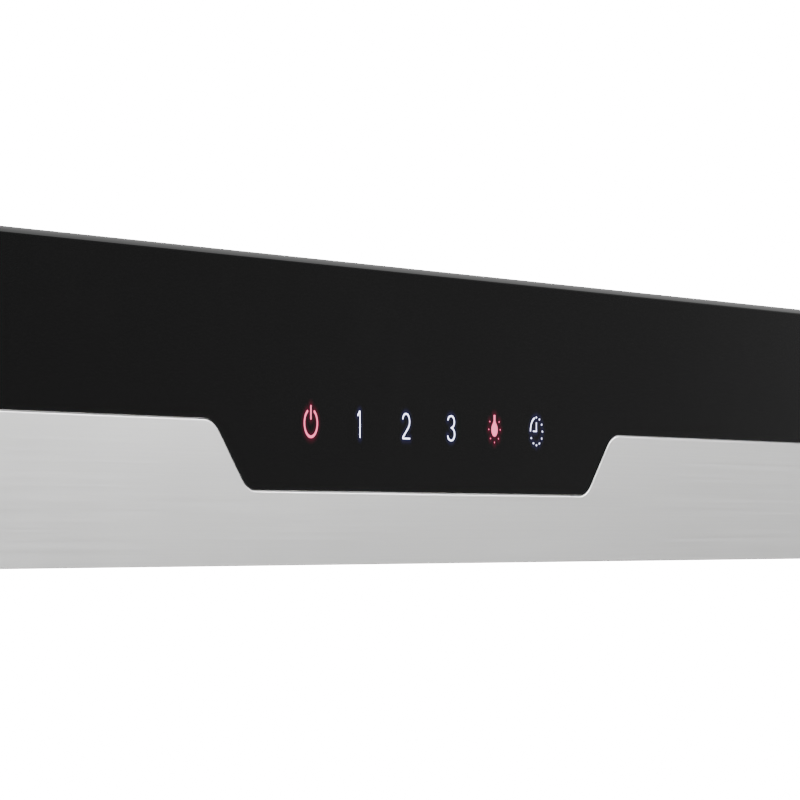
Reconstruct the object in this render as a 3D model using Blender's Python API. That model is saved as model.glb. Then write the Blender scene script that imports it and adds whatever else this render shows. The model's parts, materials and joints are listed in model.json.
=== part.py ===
"""Island range hood: a box canopy on a telescopic ceiling frame, with its chimney, blower and filters.

Metres, +Z up. The origin is the centre of the ceiling plate's top face, where the hood meets the
ceiling, so the whole hood hangs below z = 0. The control side faces -Y.
"""
import math

import bmesh
import bpy
from mathutils import Matrix, Vector

# Overall sizes
HOOD_WIDTH = 0.900
HOOD_DEPTH = 0.700
CANOPY_HEIGHT = 0.080
CEILING_TO_CANOPY = 0.880

# Clearances
FIT_GAP = 0.0003
SLIDE_GAP = 0.0005
FILTER_GAP = 0.002
CHIMNEY_GAP = 0.0022

# Canopy: shell, faces and underside
SHEET = 0.001
CANOPY_LIP = 0.010
GLASS_THICKNESS = 0.004
GLASS_BACK_GAP = 0.0005
GLASS_BAND = 0.0430
TAB_DEPTH = 0.0178
TAB_HALF_WIDTH = 0.1022
TAB_CORNER = 0.011
SIDE_STRIP = 0.140
END_STRIP = 0.135
CENTRE_WEB = 0.020

# Controls behind the glass
CONTROL_LINE = 0.04285
CONTROL_HALF_WIDTH = 0.095
CONTROL_HALF_HEIGHT = 0.017
CONTROL_DEPTH = 0.0235
CONTROL_WALL = 0.002
GUIDE_THICKNESS = 0.002
BOARD_THICKNESS = 0.0016

# Chimney covers
CHIMNEY_WIDTH = 0.260
CHIMNEY_SHEET = 0.0008
UPPER_CHIMNEY_LENGTH = 0.600
LOWER_CHIMNEY_LENGTH = 0.440
VENT_LENGTH = 0.150
VENT_HEIGHT = 0.005
VENT_PITCH = 0.015
VENT_ROWS = 4
VENT_TOP = 0.045

# Telescopic frame
PLATE_THICKNESS = 0.003
PLATE_RIM = 0.030
PLATE_SLOT_LENGTH = 0.020
PLATE_SLOT_WIDTH = 0.008
PLATE_SLOT_SPACING = 0.120
RAIL_LEG = 0.022
RAIL_THICKNESS = 0.002
UPPER_RAIL_LENGTH = 0.477
LOWER_RAIL_LENGTH = 0.400
BOLT_ROOM = 0.0062
BOLT_RADIUS = 0.003
BOLT_HEAD_RADIUS = 0.005
BOLT_HEAD_HEIGHT = 0.0035
BOLT_UP = 0.020
LIFT_UP = 0.140
LIFT_DOWN = 0.120

# Blower
BLOWER_HEIGHT = 0.240
BLOWER_LEDGE = 0.004
SCROLL_SHEET = 0.0012
SCROLL_SIDE_ROOM = 0.038
SCROLL_BACK_ROOM = 0.0185
SCROLL_GROWTH = 0.026
SCROLL_CENTRE_Y = 0.005
SCROLL_FLOOR_ROOM = 0.016
TONGUE_ANGLE = 60.0
TONGUE_THICKNESS = 0.0022
IMPELLER_ROOM = 0.007
IMPELLER_END_ROOM = 0.003
BLADE_DEPTH = 0.012
BLADE_THICKNESS = 0.0015
BLADE_ANGLE = 35.0
BLADES = 18
MOTOR_RADIUS = 0.042
MOTOR_HALF_LENGTH = 0.030
MOTOR_BOSS_RADIUS = 0.012
MOTOR_BOSS_LENGTH = 0.003
BRACKET_HALF_WIDTH = 0.010
BRACKET_THICKNESS = 0.003
SHAFT_RADIUS = 0.004

# Duct collar and its damper
DUCT_RADIUS = 0.075
COLLAR_WALL = 0.0015
COLLAR_HEIGHT = 0.060
COLLAR_FLANGE = 0.006
DAMPER_HEIGHT = 0.030
DAMPER_PIN_RADIUS = 0.0015
DAMPER_PIN_OFFSET = 0.0045
DAMPER_SLEEVE_RADIUS = 0.003
DAMPER_SLEEVE_HALF_LENGTH = 0.060
DAMPER_SHEET = 0.001
DAMPER_EDGE_GAP = 0.002
PIN_STICK_OUT = 0.0025

# Grease filters
FILTER_THICKNESS = 0.014
FILTER_RIM = 0.022
FILTER_SHEET = 0.0012
BAFFLE_PITCH = 0.021
BAFFLE_WIDTH = 0.0145
BAFFLE_TUCK = 0.004
CROSS_BAR = 0.004
LATCH_HALF_WIDTH = 0.024
LATCH_LENGTH = 0.010
LATCH_TRAVEL = 0.006
LATCH_INSET = 0.002

# Lamps
LAMP_RADIUS = 0.028
LAMP_BEZEL = 0.005
LAMP_BEZEL_THICKNESS = 0.001
LAMP_HEIGHT = 0.026
LAMP_WALL = 0.002
LENS_THICKNESS = 0.003
LAMP_FROM_FACE = 0.080

# Supply box
BOX_FROM_SIDE = 0.020
BOX_WIDTH = 0.100
BOX_LENGTH = 0.160
BOX_HEIGHT = 0.050
BOX_WALL = 0.0012
CAPACITOR_RADIUS = 0.015
CAPACITOR_LENGTH = 0.060
GLAND_RADIUS = 0.009
GLAND_BORE = 0.0045
GLAND_HEIGHT = 0.018
CABLE_RADIUS = 0.003

# Places that follow from the sizes above
FACE_DEPTH = GLASS_THICKNESS + GLASS_BACK_GAP
CANOPY_TOP = -CEILING_TO_CANOPY
CANOPY_BOTTOM = CANOPY_TOP - CANOPY_HEIGHT
HALF_WIDTH = HOOD_WIDTH / 2
HALF_DEPTH = HOOD_DEPTH / 2
SHELL_HALF_DEPTH = HALF_DEPTH - FACE_DEPTH
CHIMNEY_HALF = CHIMNEY_WIDTH / 2
UPPER_CHIMNEY_HALF = CHIMNEY_HALF - CHIMNEY_SHEET - CHIMNEY_GAP
FRAME_HALF = UPPER_CHIMNEY_HALF - CHIMNEY_SHEET - BOLT_ROOM
LOWER_FRAME_HALF = FRAME_HALF - RAIL_THICKNESS - SLIDE_GAP
BLOWER_HALF = LOWER_FRAME_HALF + SLIDE_GAP
BLOWER_TOP = CANOPY_TOP + BLOWER_HEIGHT
PAN_BOTTOM = CANOPY_BOTTOM + SHEET + FIT_GAP
PAN_TOP = PAN_BOTTOM + SHEET
OPENING_INNER = CENTRE_WEB / 2
OPENING_OUTER = HALF_WIDTH - SIDE_STRIP
OPENING_HALF_LENGTH = HALF_DEPTH - END_STRIP
FILTER_TOP = PAN_BOTTOM + FILTER_THICKNESS
FILTER_HALF_LENGTH = OPENING_HALF_LENGTH - FILTER_GAP
SCROLL_TOP = BLOWER_TOP - SHEET - FIT_GAP
SCROLL_HALF_WIDTH = BLOWER_HALF - SCROLL_SIDE_ROOM
SCROLL_END = BLOWER_HALF - SHEET - SCROLL_BACK_ROOM
SCROLL_START = SCROLL_END - SCROLL_GROWTH
SCROLL_LOWEST = SCROLL_START + SCROLL_GROWTH * (TONGUE_ANGLE + 90) / (TONGUE_ANGLE + 180)
SCROLL_CENTRE_Z = CANOPY_TOP + SCROLL_FLOOR_ROOM + SCROLL_LOWEST
IMPELLER_RADIUS = SCROLL_START - IMPELLER_ROOM
COLLAR_BOTTOM = BLOWER_TOP + FIT_GAP
COLLAR_INNER = DUCT_RADIUS - COLLAR_WALL
DAMPER_Z = COLLAR_BOTTOM + DAMPER_HEIGHT
CONTROL_Z = CANOPY_TOP - CONTROL_LINE
BOLT_Z = -PLATE_THICKNESS - UPPER_RAIL_LENGTH + BOLT_UP

CORNERS = (("front_left", -1, -1), ("front_right", 1, -1), ("rear_left", -1, 1), ("rear_right", 1, 1))
SIDES = (("left", -1), ("right", 1))

# Finish of each kind of piece: colour, metallic, roughness, transmission
FINISHES = {
    "satin_steel": ((0.56, 0.56, 0.55), 1.0, 0.30, 0.0),
    "filter_steel": ((0.60, 0.60, 0.59), 1.0, 0.25, 0.0),
    "zinc_steel": ((0.45, 0.46, 0.47), 1.0, 0.45, 0.0),
    "black_glass": ((0.012, 0.012, 0.013), 0.0, 0.06, 0.0),
    "dark_plastic": ((0.030, 0.030, 0.032), 0.0, 0.50, 0.0),
    "white_plastic": ((0.80, 0.80, 0.78), 0.0, 0.45, 0.0),
    "clear_guide": ((0.85, 0.87, 0.88), 0.0, 0.15, 0.8),
    "lamp_lens": ((0.92, 0.92, 0.90), 0.0, 0.30, 0.5),
    "circuit_board": ((0.020, 0.130, 0.060), 0.0, 0.45, 0.0),
    "motor_enamel": ((0.080, 0.085, 0.090), 0.2, 0.45, 0.0),
    "damper_plate": ((0.62, 0.62, 0.63), 1.0, 0.35, 0.0),
    "cable_jacket": ((0.030, 0.030, 0.030), 0.0, 0.60, 0.0),
}

PIVOTS = {}
EMPTIES = {}


def clear_scene():
    for obj in list(bpy.data.objects):
        bpy.data.objects.remove(obj, do_unlink=True)


def finish(name, slot):
    """A Principled material of its own for one piece."""
    colour, metallic, roughness, transmission = FINISHES[slot]
    material = bpy.data.materials.new(name + "_" + slot)
    material.use_nodes = True
    shader = material.node_tree.nodes["Principled BSDF"]
    shader.inputs["Base Color"].default_value = (*colour, 1.0)
    shader.inputs["Metallic"].default_value = metallic
    shader.inputs["Roughness"].default_value = roughness
    shader.inputs["Transmission Weight"].default_value = transmission
    return material


def body(name, pivot, parent=None):
    """An empty on the joint's axis, which the body's pieces hang from."""
    empty = bpy.data.objects.new("body_" + name, None)
    bpy.context.collection.objects.link(empty)
    empty.location = Vector(pivot)
    if parent:
        empty.parent = EMPTIES[parent]
        empty.location = Vector(pivot) - PIVOTS[parent]
    EMPTIES[name] = empty
    PIVOTS[name] = Vector(pivot)


def add(name, bm, slot, body_name):
    """A piece from a mesh in world places, with its origin on its body's pivot."""
    bmesh.ops.translate(bm, verts=bm.verts, vec=-PIVOTS[body_name])
    bmesh.ops.recalc_face_normals(bm, faces=bm.faces)
    mesh = bpy.data.meshes.new(name)
    bm.to_mesh(mesh)
    bm.free()
    mesh.shade_smooth()
    mesh.set_sharp_from_angle(angle=math.radians(30))
    mesh.materials.append(finish(name, slot))
    piece = bpy.data.objects.new(name, mesh)
    bpy.context.collection.objects.link(piece)
    piece.parent = EMPTIES[body_name]
    return piece


def combine(piece, bm, operation="DIFFERENCE"):
    """Cuts a shape out of a piece, or joins it on, with a hidden tool object."""
    bmesh.ops.recalc_face_normals(bm, faces=bm.faces)
    name = piece.name + "_tool_" + str(len(piece.modifiers) + 1)
    mesh = bpy.data.meshes.new(name)
    bm.to_mesh(mesh)
    bm.free()
    tool = bpy.data.objects.new(name, mesh)
    bpy.context.collection.objects.link(tool)
    tool.hide_render = True
    tool.display_type = "WIRE"
    modifier = piece.modifiers.new(name, "BOOLEAN")
    modifier.operation = operation
    modifier.solver = "EXACT"
    modifier.object = tool


def box(low, high):
    bm = bmesh.new()
    bmesh.ops.create_cube(bm, size=1.0)
    low, high = Vector(low), Vector(high)
    bmesh.ops.scale(bm, vec=high - low, verts=bm.verts)
    bmesh.ops.translate(bm, vec=(low + high) / 2, verts=bm.verts)
    return bm


def square_tube(half, low, high):
    return box((-half, -half, low), (half, half, high))


def prism(outline, axis, start, end):
    """Extrudes an outline, given in the two other axes in X, Y, Z order, along an axis."""
    bm = bmesh.new()
    places = {
        "X": lambda u, v: (start, u, v),
        "Y": lambda u, v: (u, start, v),
        "Z": lambda u, v: (u, v, start),
    }
    corners = [bm.verts.new(places[axis](u, v)) for u, v in outline]
    face = bm.faces.new(corners)
    grown = bmesh.ops.extrude_face_region(bm, geom=[face])
    moved = [item for item in grown["geom"] if isinstance(item, bmesh.types.BMVert)]
    step = Vector([end - start if name == axis else 0.0 for name in "XYZ"])
    bmesh.ops.translate(bm, vec=step, verts=moved)
    return bm


def turn_to(bm, axis):
    """Turns a shape made about Z so that it lies about another axis."""
    if axis == "X":
        bmesh.ops.rotate(bm, verts=bm.verts, matrix=Matrix.Rotation(math.radians(90), 3, "Y"))
    if axis == "Y":
        bmesh.ops.rotate(bm, verts=bm.verts, matrix=Matrix.Rotation(math.radians(-90), 3, "X"))
    return bm


def lathe(profile, segments, axis="Z", centre=(0, 0, 0), ring=False):
    """Spins a profile of radius and height about an axis. A ring's profile closes on itself."""
    bm = bmesh.new()
    points = [bm.verts.new((radius, 0, height)) for radius, height in profile]
    pairs = list(zip(points, points[1:]))
    if ring:
        pairs.append((points[-1], points[0]))
    edges = [bm.edges.new(pair) for pair in pairs]
    bmesh.ops.spin(
        bm,
        geom=points + edges,
        cent=(0, 0, 0),
        axis=(0, 0, 1),
        angle=math.radians(360),
        steps=segments,
        use_merge=True,
    )
    bmesh.ops.remove_doubles(bm, verts=bm.verts, dist=1e-6)
    turn_to(bm, axis)
    bmesh.ops.translate(bm, vec=centre, verts=bm.verts)
    return bm


def rod(radius, low, high, segments, axis="Z", centre=(0, 0, 0)):
    return lathe([(0, low), (radius, low), (radius, high), (0, high)], segments, axis, centre)


def tray(name, low, high, wall, open_side, slot, body_name):
    """A box of even wall with one side left open, such as bottom, top, front or ends."""
    piece = add(name, box(low, high), slot, body_name)
    inner_low = [value + wall for value in low]
    inner_high = [value - wall for value in high]
    if open_side in ("bottom", "ends"):
        inner_low[2] = low[2] - wall
    if open_side in ("top", "ends"):
        inner_high[2] = high[2] + wall
    if open_side == "front":
        inner_low[1] = low[1] - wall
    combine(piece, box(inner_low, inner_high))
    return piece


def make_bodies():
    body("ceiling_frame", (0, 0, 0))
    body("canopy", (0, 0, CANOPY_TOP), "ceiling_frame")
    body("lower_cover", (0, 0, CANOPY_TOP), "canopy")
    body("impeller", (0, SCROLL_CENTRE_Y, SCROLL_CENTRE_Z), "canopy")
    for side, sign in SIDES:
        middle = sign * (OPENING_INNER + OPENING_OUTER) / 2
        body("filter_" + side, (middle, FILTER_HALF_LENGTH, PAN_BOTTOM), "canopy")
        body("latch_" + side, (middle, -FILTER_HALF_LENGTH, PAN_BOTTOM), "filter_" + side)
        body("damper_" + side, (sign * DAMPER_PIN_OFFSET, 0, DAMPER_Z), "canopy")


def stadium(length, width, centre, axis, start, end):
    """A slot's shape, with round ends, along the first axis of its plane."""
    radius = width / 2
    run = length / 2 - radius
    outline = []
    for middle, first in ((run, -90), (-run, 90)):
        for step in range(7):
            angle = math.radians(first + 30 * step)
            u = centre[0] + middle + radius * math.cos(angle)
            outline.append((u, centre[1] + radius * math.sin(angle)))
    return prism(outline, axis, start, end)


def upright_slot(length, width, centre, start, end):
    """A slot that runs up and down in a wall that faces Y."""
    radius = width / 2
    run = length / 2 - radius
    outline = []
    for middle, first in ((run, 0), (-run, 180)):
        for step in range(7):
            angle = math.radians(first + 30 * step)
            v = centre[1] + middle + radius * math.sin(angle)
            outline.append((centre[0] + radius * math.cos(angle), v))
    return prism(outline, "Y", start, end)


def make_ceiling_plate():
    plate = add("ceiling_plate", square_tube(FRAME_HALF, -PLATE_THICKNESS, 0), "zinc_steel", "ceiling_frame")
    reach = PLATE_THICKNESS * 2
    combine(plate, square_tube(FRAME_HALF - PLATE_RIM, -reach, reach))
    across = FRAME_HALF - PLATE_RIM / 2
    for along in (-PLATE_SLOT_SPACING / 2, PLATE_SLOT_SPACING / 2):
        for row in (-across, across):
            slot = stadium(PLATE_SLOT_LENGTH, PLATE_SLOT_WIDTH, (along, row), "Z", -reach, reach)
            combine(plate, slot)


def angle_outline(outer, sign_x, sign_y):
    """The L of an angle rail whose heel is a corner of a square."""
    inner = outer - RAIL_THICKNESS
    leg = outer - RAIL_LEG
    shape = ((outer, outer), (leg, outer), (leg, inner), (inner, inner), (inner, leg), (outer, leg))
    return [(sign_x * x, sign_y * y) for x, y in shape]


def make_rails():
    upper_top = -PLATE_THICKNESS - FIT_GAP
    upper_bottom = -PLATE_THICKNESS - UPPER_RAIL_LENGTH
    lower_bottom = BLOWER_TOP + FIT_GAP
    lower_top = BLOWER_TOP + LOWER_RAIL_LENGTH
    bolt_x = LOWER_FRAME_HALF - RAIL_LEG / 2
    hole_radius = BOLT_RADIUS + SLIDE_GAP
    slot_length = LIFT_UP + LIFT_DOWN + 2 * hole_radius + 2 * SLIDE_GAP
    slot_middle = BOLT_Z + (LIFT_DOWN - LIFT_UP) / 2
    for corner, sign_x, sign_y in CORNERS:
        outline = angle_outline(FRAME_HALF, sign_x, sign_y)
        rail = prism(outline, "Z", upper_bottom, upper_top)
        upper = add("upper_rail_" + corner, rail, "zinc_steel", "ceiling_frame")
        outer_face = sign_y * (FRAME_HALF + FIT_GAP)
        through = sign_y * (FRAME_HALF - 2 * RAIL_LEG)
        start, end = sorted((sign_y * (FRAME_HALF + RAIL_LEG), through))
        combine(upper, rod(hole_radius, start, end, 12, "Y", (sign_x * bolt_x, 0, BOLT_Z)))

        outline = angle_outline(LOWER_FRAME_HALF, sign_x, sign_y)
        rail = prism(outline, "Z", lower_bottom, lower_top)
        lower = add("lower_rail_" + corner, rail, "zinc_steel", "canopy")
        combine(lower, upright_slot(slot_length, 2 * hole_radius, (sign_x * bolt_x, slot_middle), start, end))

        nut_face = LOWER_FRAME_HALF - RAIL_THICKNESS - FIT_GAP
        profile = [
            (0, 0),
            (BOLT_HEAD_RADIUS, 0),
            (BOLT_HEAD_RADIUS, BOLT_HEAD_HEIGHT),
            (BOLT_RADIUS, BOLT_HEAD_HEIGHT),
            (BOLT_RADIUS, BOLT_HEAD_HEIGHT + abs(outer_face) - nut_face),
            (BOLT_HEAD_RADIUS, BOLT_HEAD_HEIGHT + abs(outer_face) - nut_face),
            (BOLT_HEAD_RADIUS, 2 * BOLT_HEAD_HEIGHT + abs(outer_face) - nut_face),
            (0, 2 * BOLT_HEAD_HEIGHT + abs(outer_face) - nut_face),
        ]
        head = outer_face + sign_y * BOLT_HEAD_HEIGHT
        bolt = lathe([(radius, -sign_y * height) for radius, height in profile], 12, "Y",
                     (sign_x * bolt_x, head, BOLT_Z))
        add("rail_bolt_" + corner, bolt, "zinc_steel", "ceiling_frame")


def make_chimneys():
    half = UPPER_CHIMNEY_HALF
    low, high = (-half, -half, -UPPER_CHIMNEY_LENGTH), (half, half, 0)
    upper = tray("upper_chimney", low, high, CHIMNEY_SHEET, "ends", "satin_steel", "ceiling_frame")
    for row in range(VENT_ROWS):
        top = -VENT_TOP - row * VENT_PITCH
        vent = box((-half * 2, -VENT_LENGTH / 2, top - VENT_HEIGHT), (half * 2, VENT_LENGTH / 2, top))
        combine(upper, vent)
    half = CHIMNEY_HALF
    low, high = (-half, -half, CANOPY_TOP + FIT_GAP), (half, half, CANOPY_TOP + LOWER_CHIMNEY_LENGTH)
    tray("lower_chimney", low, high, CHIMNEY_SHEET, "ends", "satin_steel", "lower_cover")


def tab_edge(gap):
    """The line round the tab, left to right, as x and depth below the canopy's top, out by a gap."""
    depth = GLASS_BAND + TAB_DEPTH
    tangent = TAB_CORNER * math.tan(math.radians(22.5))
    upper_x = TAB_HALF_WIDTH + TAB_DEPTH + tangent
    lower_x = TAB_HALF_WIDTH - tangent
    left = [(-HALF_WIDTH, GLASS_BAND + gap)]
    for step in range(6):
        angle = math.radians(9 * step)
        radius = TAB_CORNER - gap
        left.append((-upper_x + radius * math.sin(angle), GLASS_BAND + TAB_CORNER - radius * math.cos(angle)))
    for step in range(6):
        angle = math.radians(45 - 9 * step)
        radius = TAB_CORNER + gap
        left.append((-lower_x - radius * math.sin(angle), depth - TAB_CORNER + radius * math.cos(angle)))
    return left + [(-x, v) for x, v in reversed(left)]


def make_canopy_shell():
    half_x, half_y = HALF_WIDTH, SHELL_HALF_DEPTH
    shell = add("canopy_shell", box((-half_x, -half_y, CANOPY_BOTTOM), (half_x, half_y, CANOPY_TOP)),
                "satin_steel", "canopy")
    combine(shell, box((SHEET - half_x, SHEET - half_y, CANOPY_BOTTOM + SHEET),
                       (half_x - SHEET, half_y - SHEET, CANOPY_TOP - SHEET)))
    lip = SHEET + CANOPY_LIP
    combine(shell, box((lip - half_x, lip - half_y, CANOPY_BOTTOM - lip),
                       (half_x - lip, half_y - lip, CANOPY_BOTTOM + 2 * SHEET)))
    throat = BLOWER_HALF - SHEET - BLOWER_LEDGE
    combine(shell, square_tube(throat, CANOPY_TOP - 4 * SHEET, CANOPY_TOP + 4 * SHEET))
    window_x = CONTROL_HALF_WIDTH + FIT_GAP
    window_z = CONTROL_HALF_HEIGHT + FIT_GAP
    combine(shell, box((-window_x, -half_y - SHEET, CONTROL_Z - window_z),
                       (window_x, -half_y + 2 * SHEET, CONTROL_Z + window_z)))


def make_faces():
    """The glass band with its tab and the steel below it, in front, and their plain pair behind."""
    front = -HALF_DEPTH
    top = CANOPY_TOP
    edge = [(x, top - v) for x, v in tab_edge(0)]
    glass = [(-HALF_WIDTH, top), *edge, (HALF_WIDTH, top)]
    add("front_glass", prism(glass, "Y", front, front + GLASS_THICKNESS), "black_glass", "canopy")
    edge = [(x, top - v) for x, v in tab_edge(FIT_GAP)]
    steel = [(-HALF_WIDTH, CANOPY_BOTTOM), *edge, (HALF_WIDTH, CANOPY_BOTTOM)]
    add("front_fascia", prism(steel, "Y", front, front + FACE_DEPTH - FIT_GAP), "satin_steel", "canopy")
    split = CANOPY_TOP - GLASS_BAND
    add("rear_glass", box((-HALF_WIDTH, HALF_DEPTH - GLASS_THICKNESS, split), (HALF_WIDTH, HALF_DEPTH, top)),
        "black_glass", "canopy")
    add("rear_fascia", box((-HALF_WIDTH, SHELL_HALF_DEPTH + FIT_GAP, CANOPY_BOTTOM),
                           (HALF_WIDTH, HALF_DEPTH, split - FIT_GAP)), "satin_steel", "canopy")


def lamp_places():
    x = HALF_WIDTH - SIDE_STRIP / 2
    y = HALF_DEPTH - LAMP_FROM_FACE
    return [(corner, sign_x * x, sign_y * y) for corner, sign_x, sign_y in CORNERS]


def make_bottom_pan():
    half_x = HALF_WIDTH - SHEET - FIT_GAP
    half_y = SHELL_HALF_DEPTH - SHEET - FIT_GAP
    sheet = box((-half_x, -half_y, PAN_BOTTOM), (half_x, half_y, PAN_TOP))
    pan = add("bottom_pan", sheet, "satin_steel", "canopy")
    for _, sign in SIDES:
        x_low, x_high = sorted((sign * OPENING_INNER, sign * OPENING_OUTER))
        combine(pan, box((x_low, -OPENING_HALF_LENGTH, PAN_BOTTOM - SHEET),
                         (x_high, OPENING_HALF_LENGTH, PAN_TOP + SHEET)))
    for _, x, y in lamp_places():
        combine(pan, rod(LAMP_RADIUS + FIT_GAP, PAN_BOTTOM - SHEET, PAN_TOP + SHEET, 32, "Z", (x, y, 0)))


def make_lamps():
    bezel_top = PAN_BOTTOM - FIT_GAP
    bezel_bottom = bezel_top - LAMP_BEZEL_THICKNESS
    roof = PAN_TOP + LAMP_HEIGHT
    inner = LAMP_RADIUS - LAMP_WALL
    lens_top = bezel_bottom + LENS_THICKNESS
    for corner, x, y in lamp_places():
        profile = [
            (inner, bezel_bottom),
            (LAMP_RADIUS + LAMP_BEZEL, bezel_bottom),
            (LAMP_RADIUS + LAMP_BEZEL, bezel_top),
            (LAMP_RADIUS, bezel_top),
            (LAMP_RADIUS, roof),
            (0, roof),
            (0, roof - LAMP_WALL),
            (inner, roof - LAMP_WALL),
        ]
        cup = lathe(profile, 32, "Z", (x, y, 0), ring=True)
        add("lamp_housing_" + corner, cup, "zinc_steel", "canopy")
        lens = rod(inner - FIT_GAP, bezel_bottom, lens_top, 32, "Z", (x, y, 0))
        add("lamp_lens_" + corner, lens, "lamp_lens", "canopy")


def make_controls():
    front = -SHELL_HALF_DEPTH
    tray("control_housing", (-CONTROL_HALF_WIDTH, front, CONTROL_Z - CONTROL_HALF_HEIGHT),
         (CONTROL_HALF_WIDTH, front + CONTROL_DEPTH, CONTROL_Z + CONTROL_HALF_HEIGHT), CONTROL_WALL, "front",
         "dark_plastic", "canopy")
    half_x = CONTROL_HALF_WIDTH - CONTROL_WALL - 2 * FIT_GAP
    half_z = CONTROL_HALF_HEIGHT - CONTROL_WALL - 2 * FIT_GAP
    guide_front = GLASS_THICKNESS - HALF_DEPTH + FIT_GAP
    guide_back = guide_front + GUIDE_THICKNESS
    low, high = CONTROL_Z - half_z, CONTROL_Z + half_z
    guide = box((-half_x, guide_front, low), (half_x, guide_back, high))
    add("light_guide", guide, "clear_guide", "canopy")
    board_front = guide_back + FIT_GAP
    board = box((-half_x, board_front, low), (half_x, board_front + BOARD_THICKNESS, high))
    add("touch_board", board, "circuit_board", "canopy")


def make_blower_box():
    half = BLOWER_HALF
    low, high = (-half, -half, CANOPY_TOP + FIT_GAP), (half, half, BLOWER_TOP)
    shell = tray("blower_box", low, high, SHEET, "bottom", "zinc_steel", "canopy")
    under, over = BLOWER_TOP - 3 * SHEET, BLOWER_TOP + 3 * SHEET
    combine(shell, rod(COLLAR_INNER, under, over, 48))
    place = gland_place()
    combine(shell, rod(GLAND_BORE, under, over, 16, "Z", (place, -place, 0)))
    profile = [
        (GLAND_BORE, BLOWER_TOP + FIT_GAP),
        (GLAND_RADIUS, BLOWER_TOP + FIT_GAP),
        (GLAND_RADIUS, BLOWER_TOP + GLAND_HEIGHT / 2),
        ((GLAND_BORE + GLAND_RADIUS) / 2, BLOWER_TOP + GLAND_HEIGHT),
        (GLAND_BORE, BLOWER_TOP + GLAND_HEIGHT),
    ]
    add("cable_gland", lathe(profile, 16, "Z", (place, -place, 0), ring=True), "dark_plastic", "canopy")


def gland_place():
    """Half way along the diagonal between the collar's flange and the rail in the corner."""
    rail_corner = (LOWER_FRAME_HALF - RAIL_LEG) * math.sqrt(2)
    return (DUCT_RADIUS + COLLAR_FLANGE + rail_corner) / 2 / math.sqrt(2)


def volute_radius(angle):
    """The scroll's inner radius, which grows evenly from the tongue round to the outlet."""
    return SCROLL_START + SCROLL_GROWTH * (TONGUE_ANGLE - angle) / (TONGUE_ANGLE + 180)


def volute_path(wall):
    """The scroll's line in Y and Z from the outlet's rear edge round to its front edge."""
    outlet = COLLAR_INNER + wall
    tongue = math.radians(TONGUE_ANGLE)
    shift = TONGUE_THICKNESS if wall else 0
    path = [(outlet, SCROLL_TOP)]
    path.append((SCROLL_CENTRE_Y + SCROLL_START * math.cos(tongue) + shift,
                 SCROLL_CENTRE_Z + SCROLL_START * math.sin(tongue)))
    steps = 24
    for step in range(1, steps + 1):
        angle = TONGUE_ANGLE - (TONGUE_ANGLE + 180) * step / steps
        radius = volute_radius(angle) + wall
        path.append((SCROLL_CENTRE_Y + radius * math.cos(math.radians(angle)),
                     SCROLL_CENTRE_Z + radius * math.sin(math.radians(angle))))
    path.append((-outlet, SCROLL_TOP))
    return path


def make_scroll():
    outline = volute_path(0) + list(reversed(volute_path(SCROLL_SHEET)))
    add("scroll_wrap", prism(outline, "X", -SCROLL_HALF_WIDTH, SCROLL_HALF_WIDTH), "zinc_steel", "canopy")
    inner_face = SCROLL_HALF_WIDTH + FIT_GAP
    outer_face = inner_face + SCROLL_SHEET
    for side, sign in SIDES:
        start, end = sorted((sign * inner_face, sign * outer_face))
        sheet = prism(volute_path(SCROLL_SHEET), "X", start, end)
        plate = add("scroll_side_" + side, sheet, "zinc_steel", "canopy")
        inlet = rod(IMPELLER_RADIUS - BLADE_DEPTH, start - SHEET, end + SHEET, 32, "X",
                    (0, SCROLL_CENTRE_Y, SCROLL_CENTRE_Z))
        combine(plate, inlet)


def make_motor():
    centre = (0, SCROLL_CENTRE_Y, SCROLL_CENTRE_Z)
    bore = SHAFT_RADIUS + FIT_GAP
    half = MOTOR_HALF_LENGTH
    boss = half + MOTOR_BOSS_LENGTH
    profile = [
        (bore, -boss),
        (MOTOR_BOSS_RADIUS, -boss),
        (MOTOR_BOSS_RADIUS, -half),
        (MOTOR_RADIUS, -half),
        (MOTOR_RADIUS, half),
        (MOTOR_BOSS_RADIUS, half),
        (MOTOR_BOSS_RADIUS, boss),
        (bore, boss),
    ]
    add("motor_body", lathe(profile, 32, "X", centre, ring=True), "motor_enamel", "canopy")
    for name, angle in (("rear", -45), ("front", -135)):
        near = MOTOR_RADIUS + FIT_GAP
        far = volute_radius(angle) - 0.001
        bar = box((-BRACKET_HALF_WIDTH, near, -BRACKET_THICKNESS / 2),
                  (BRACKET_HALF_WIDTH, far, BRACKET_THICKNESS / 2))
        bmesh.ops.rotate(bar, verts=bar.verts, matrix=Matrix.Rotation(math.radians(angle), 3, "X"))
        bmesh.ops.translate(bar, verts=bar.verts, vec=centre)
        add("motor_bracket_" + name, bar, "zinc_steel", "canopy")


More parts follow.
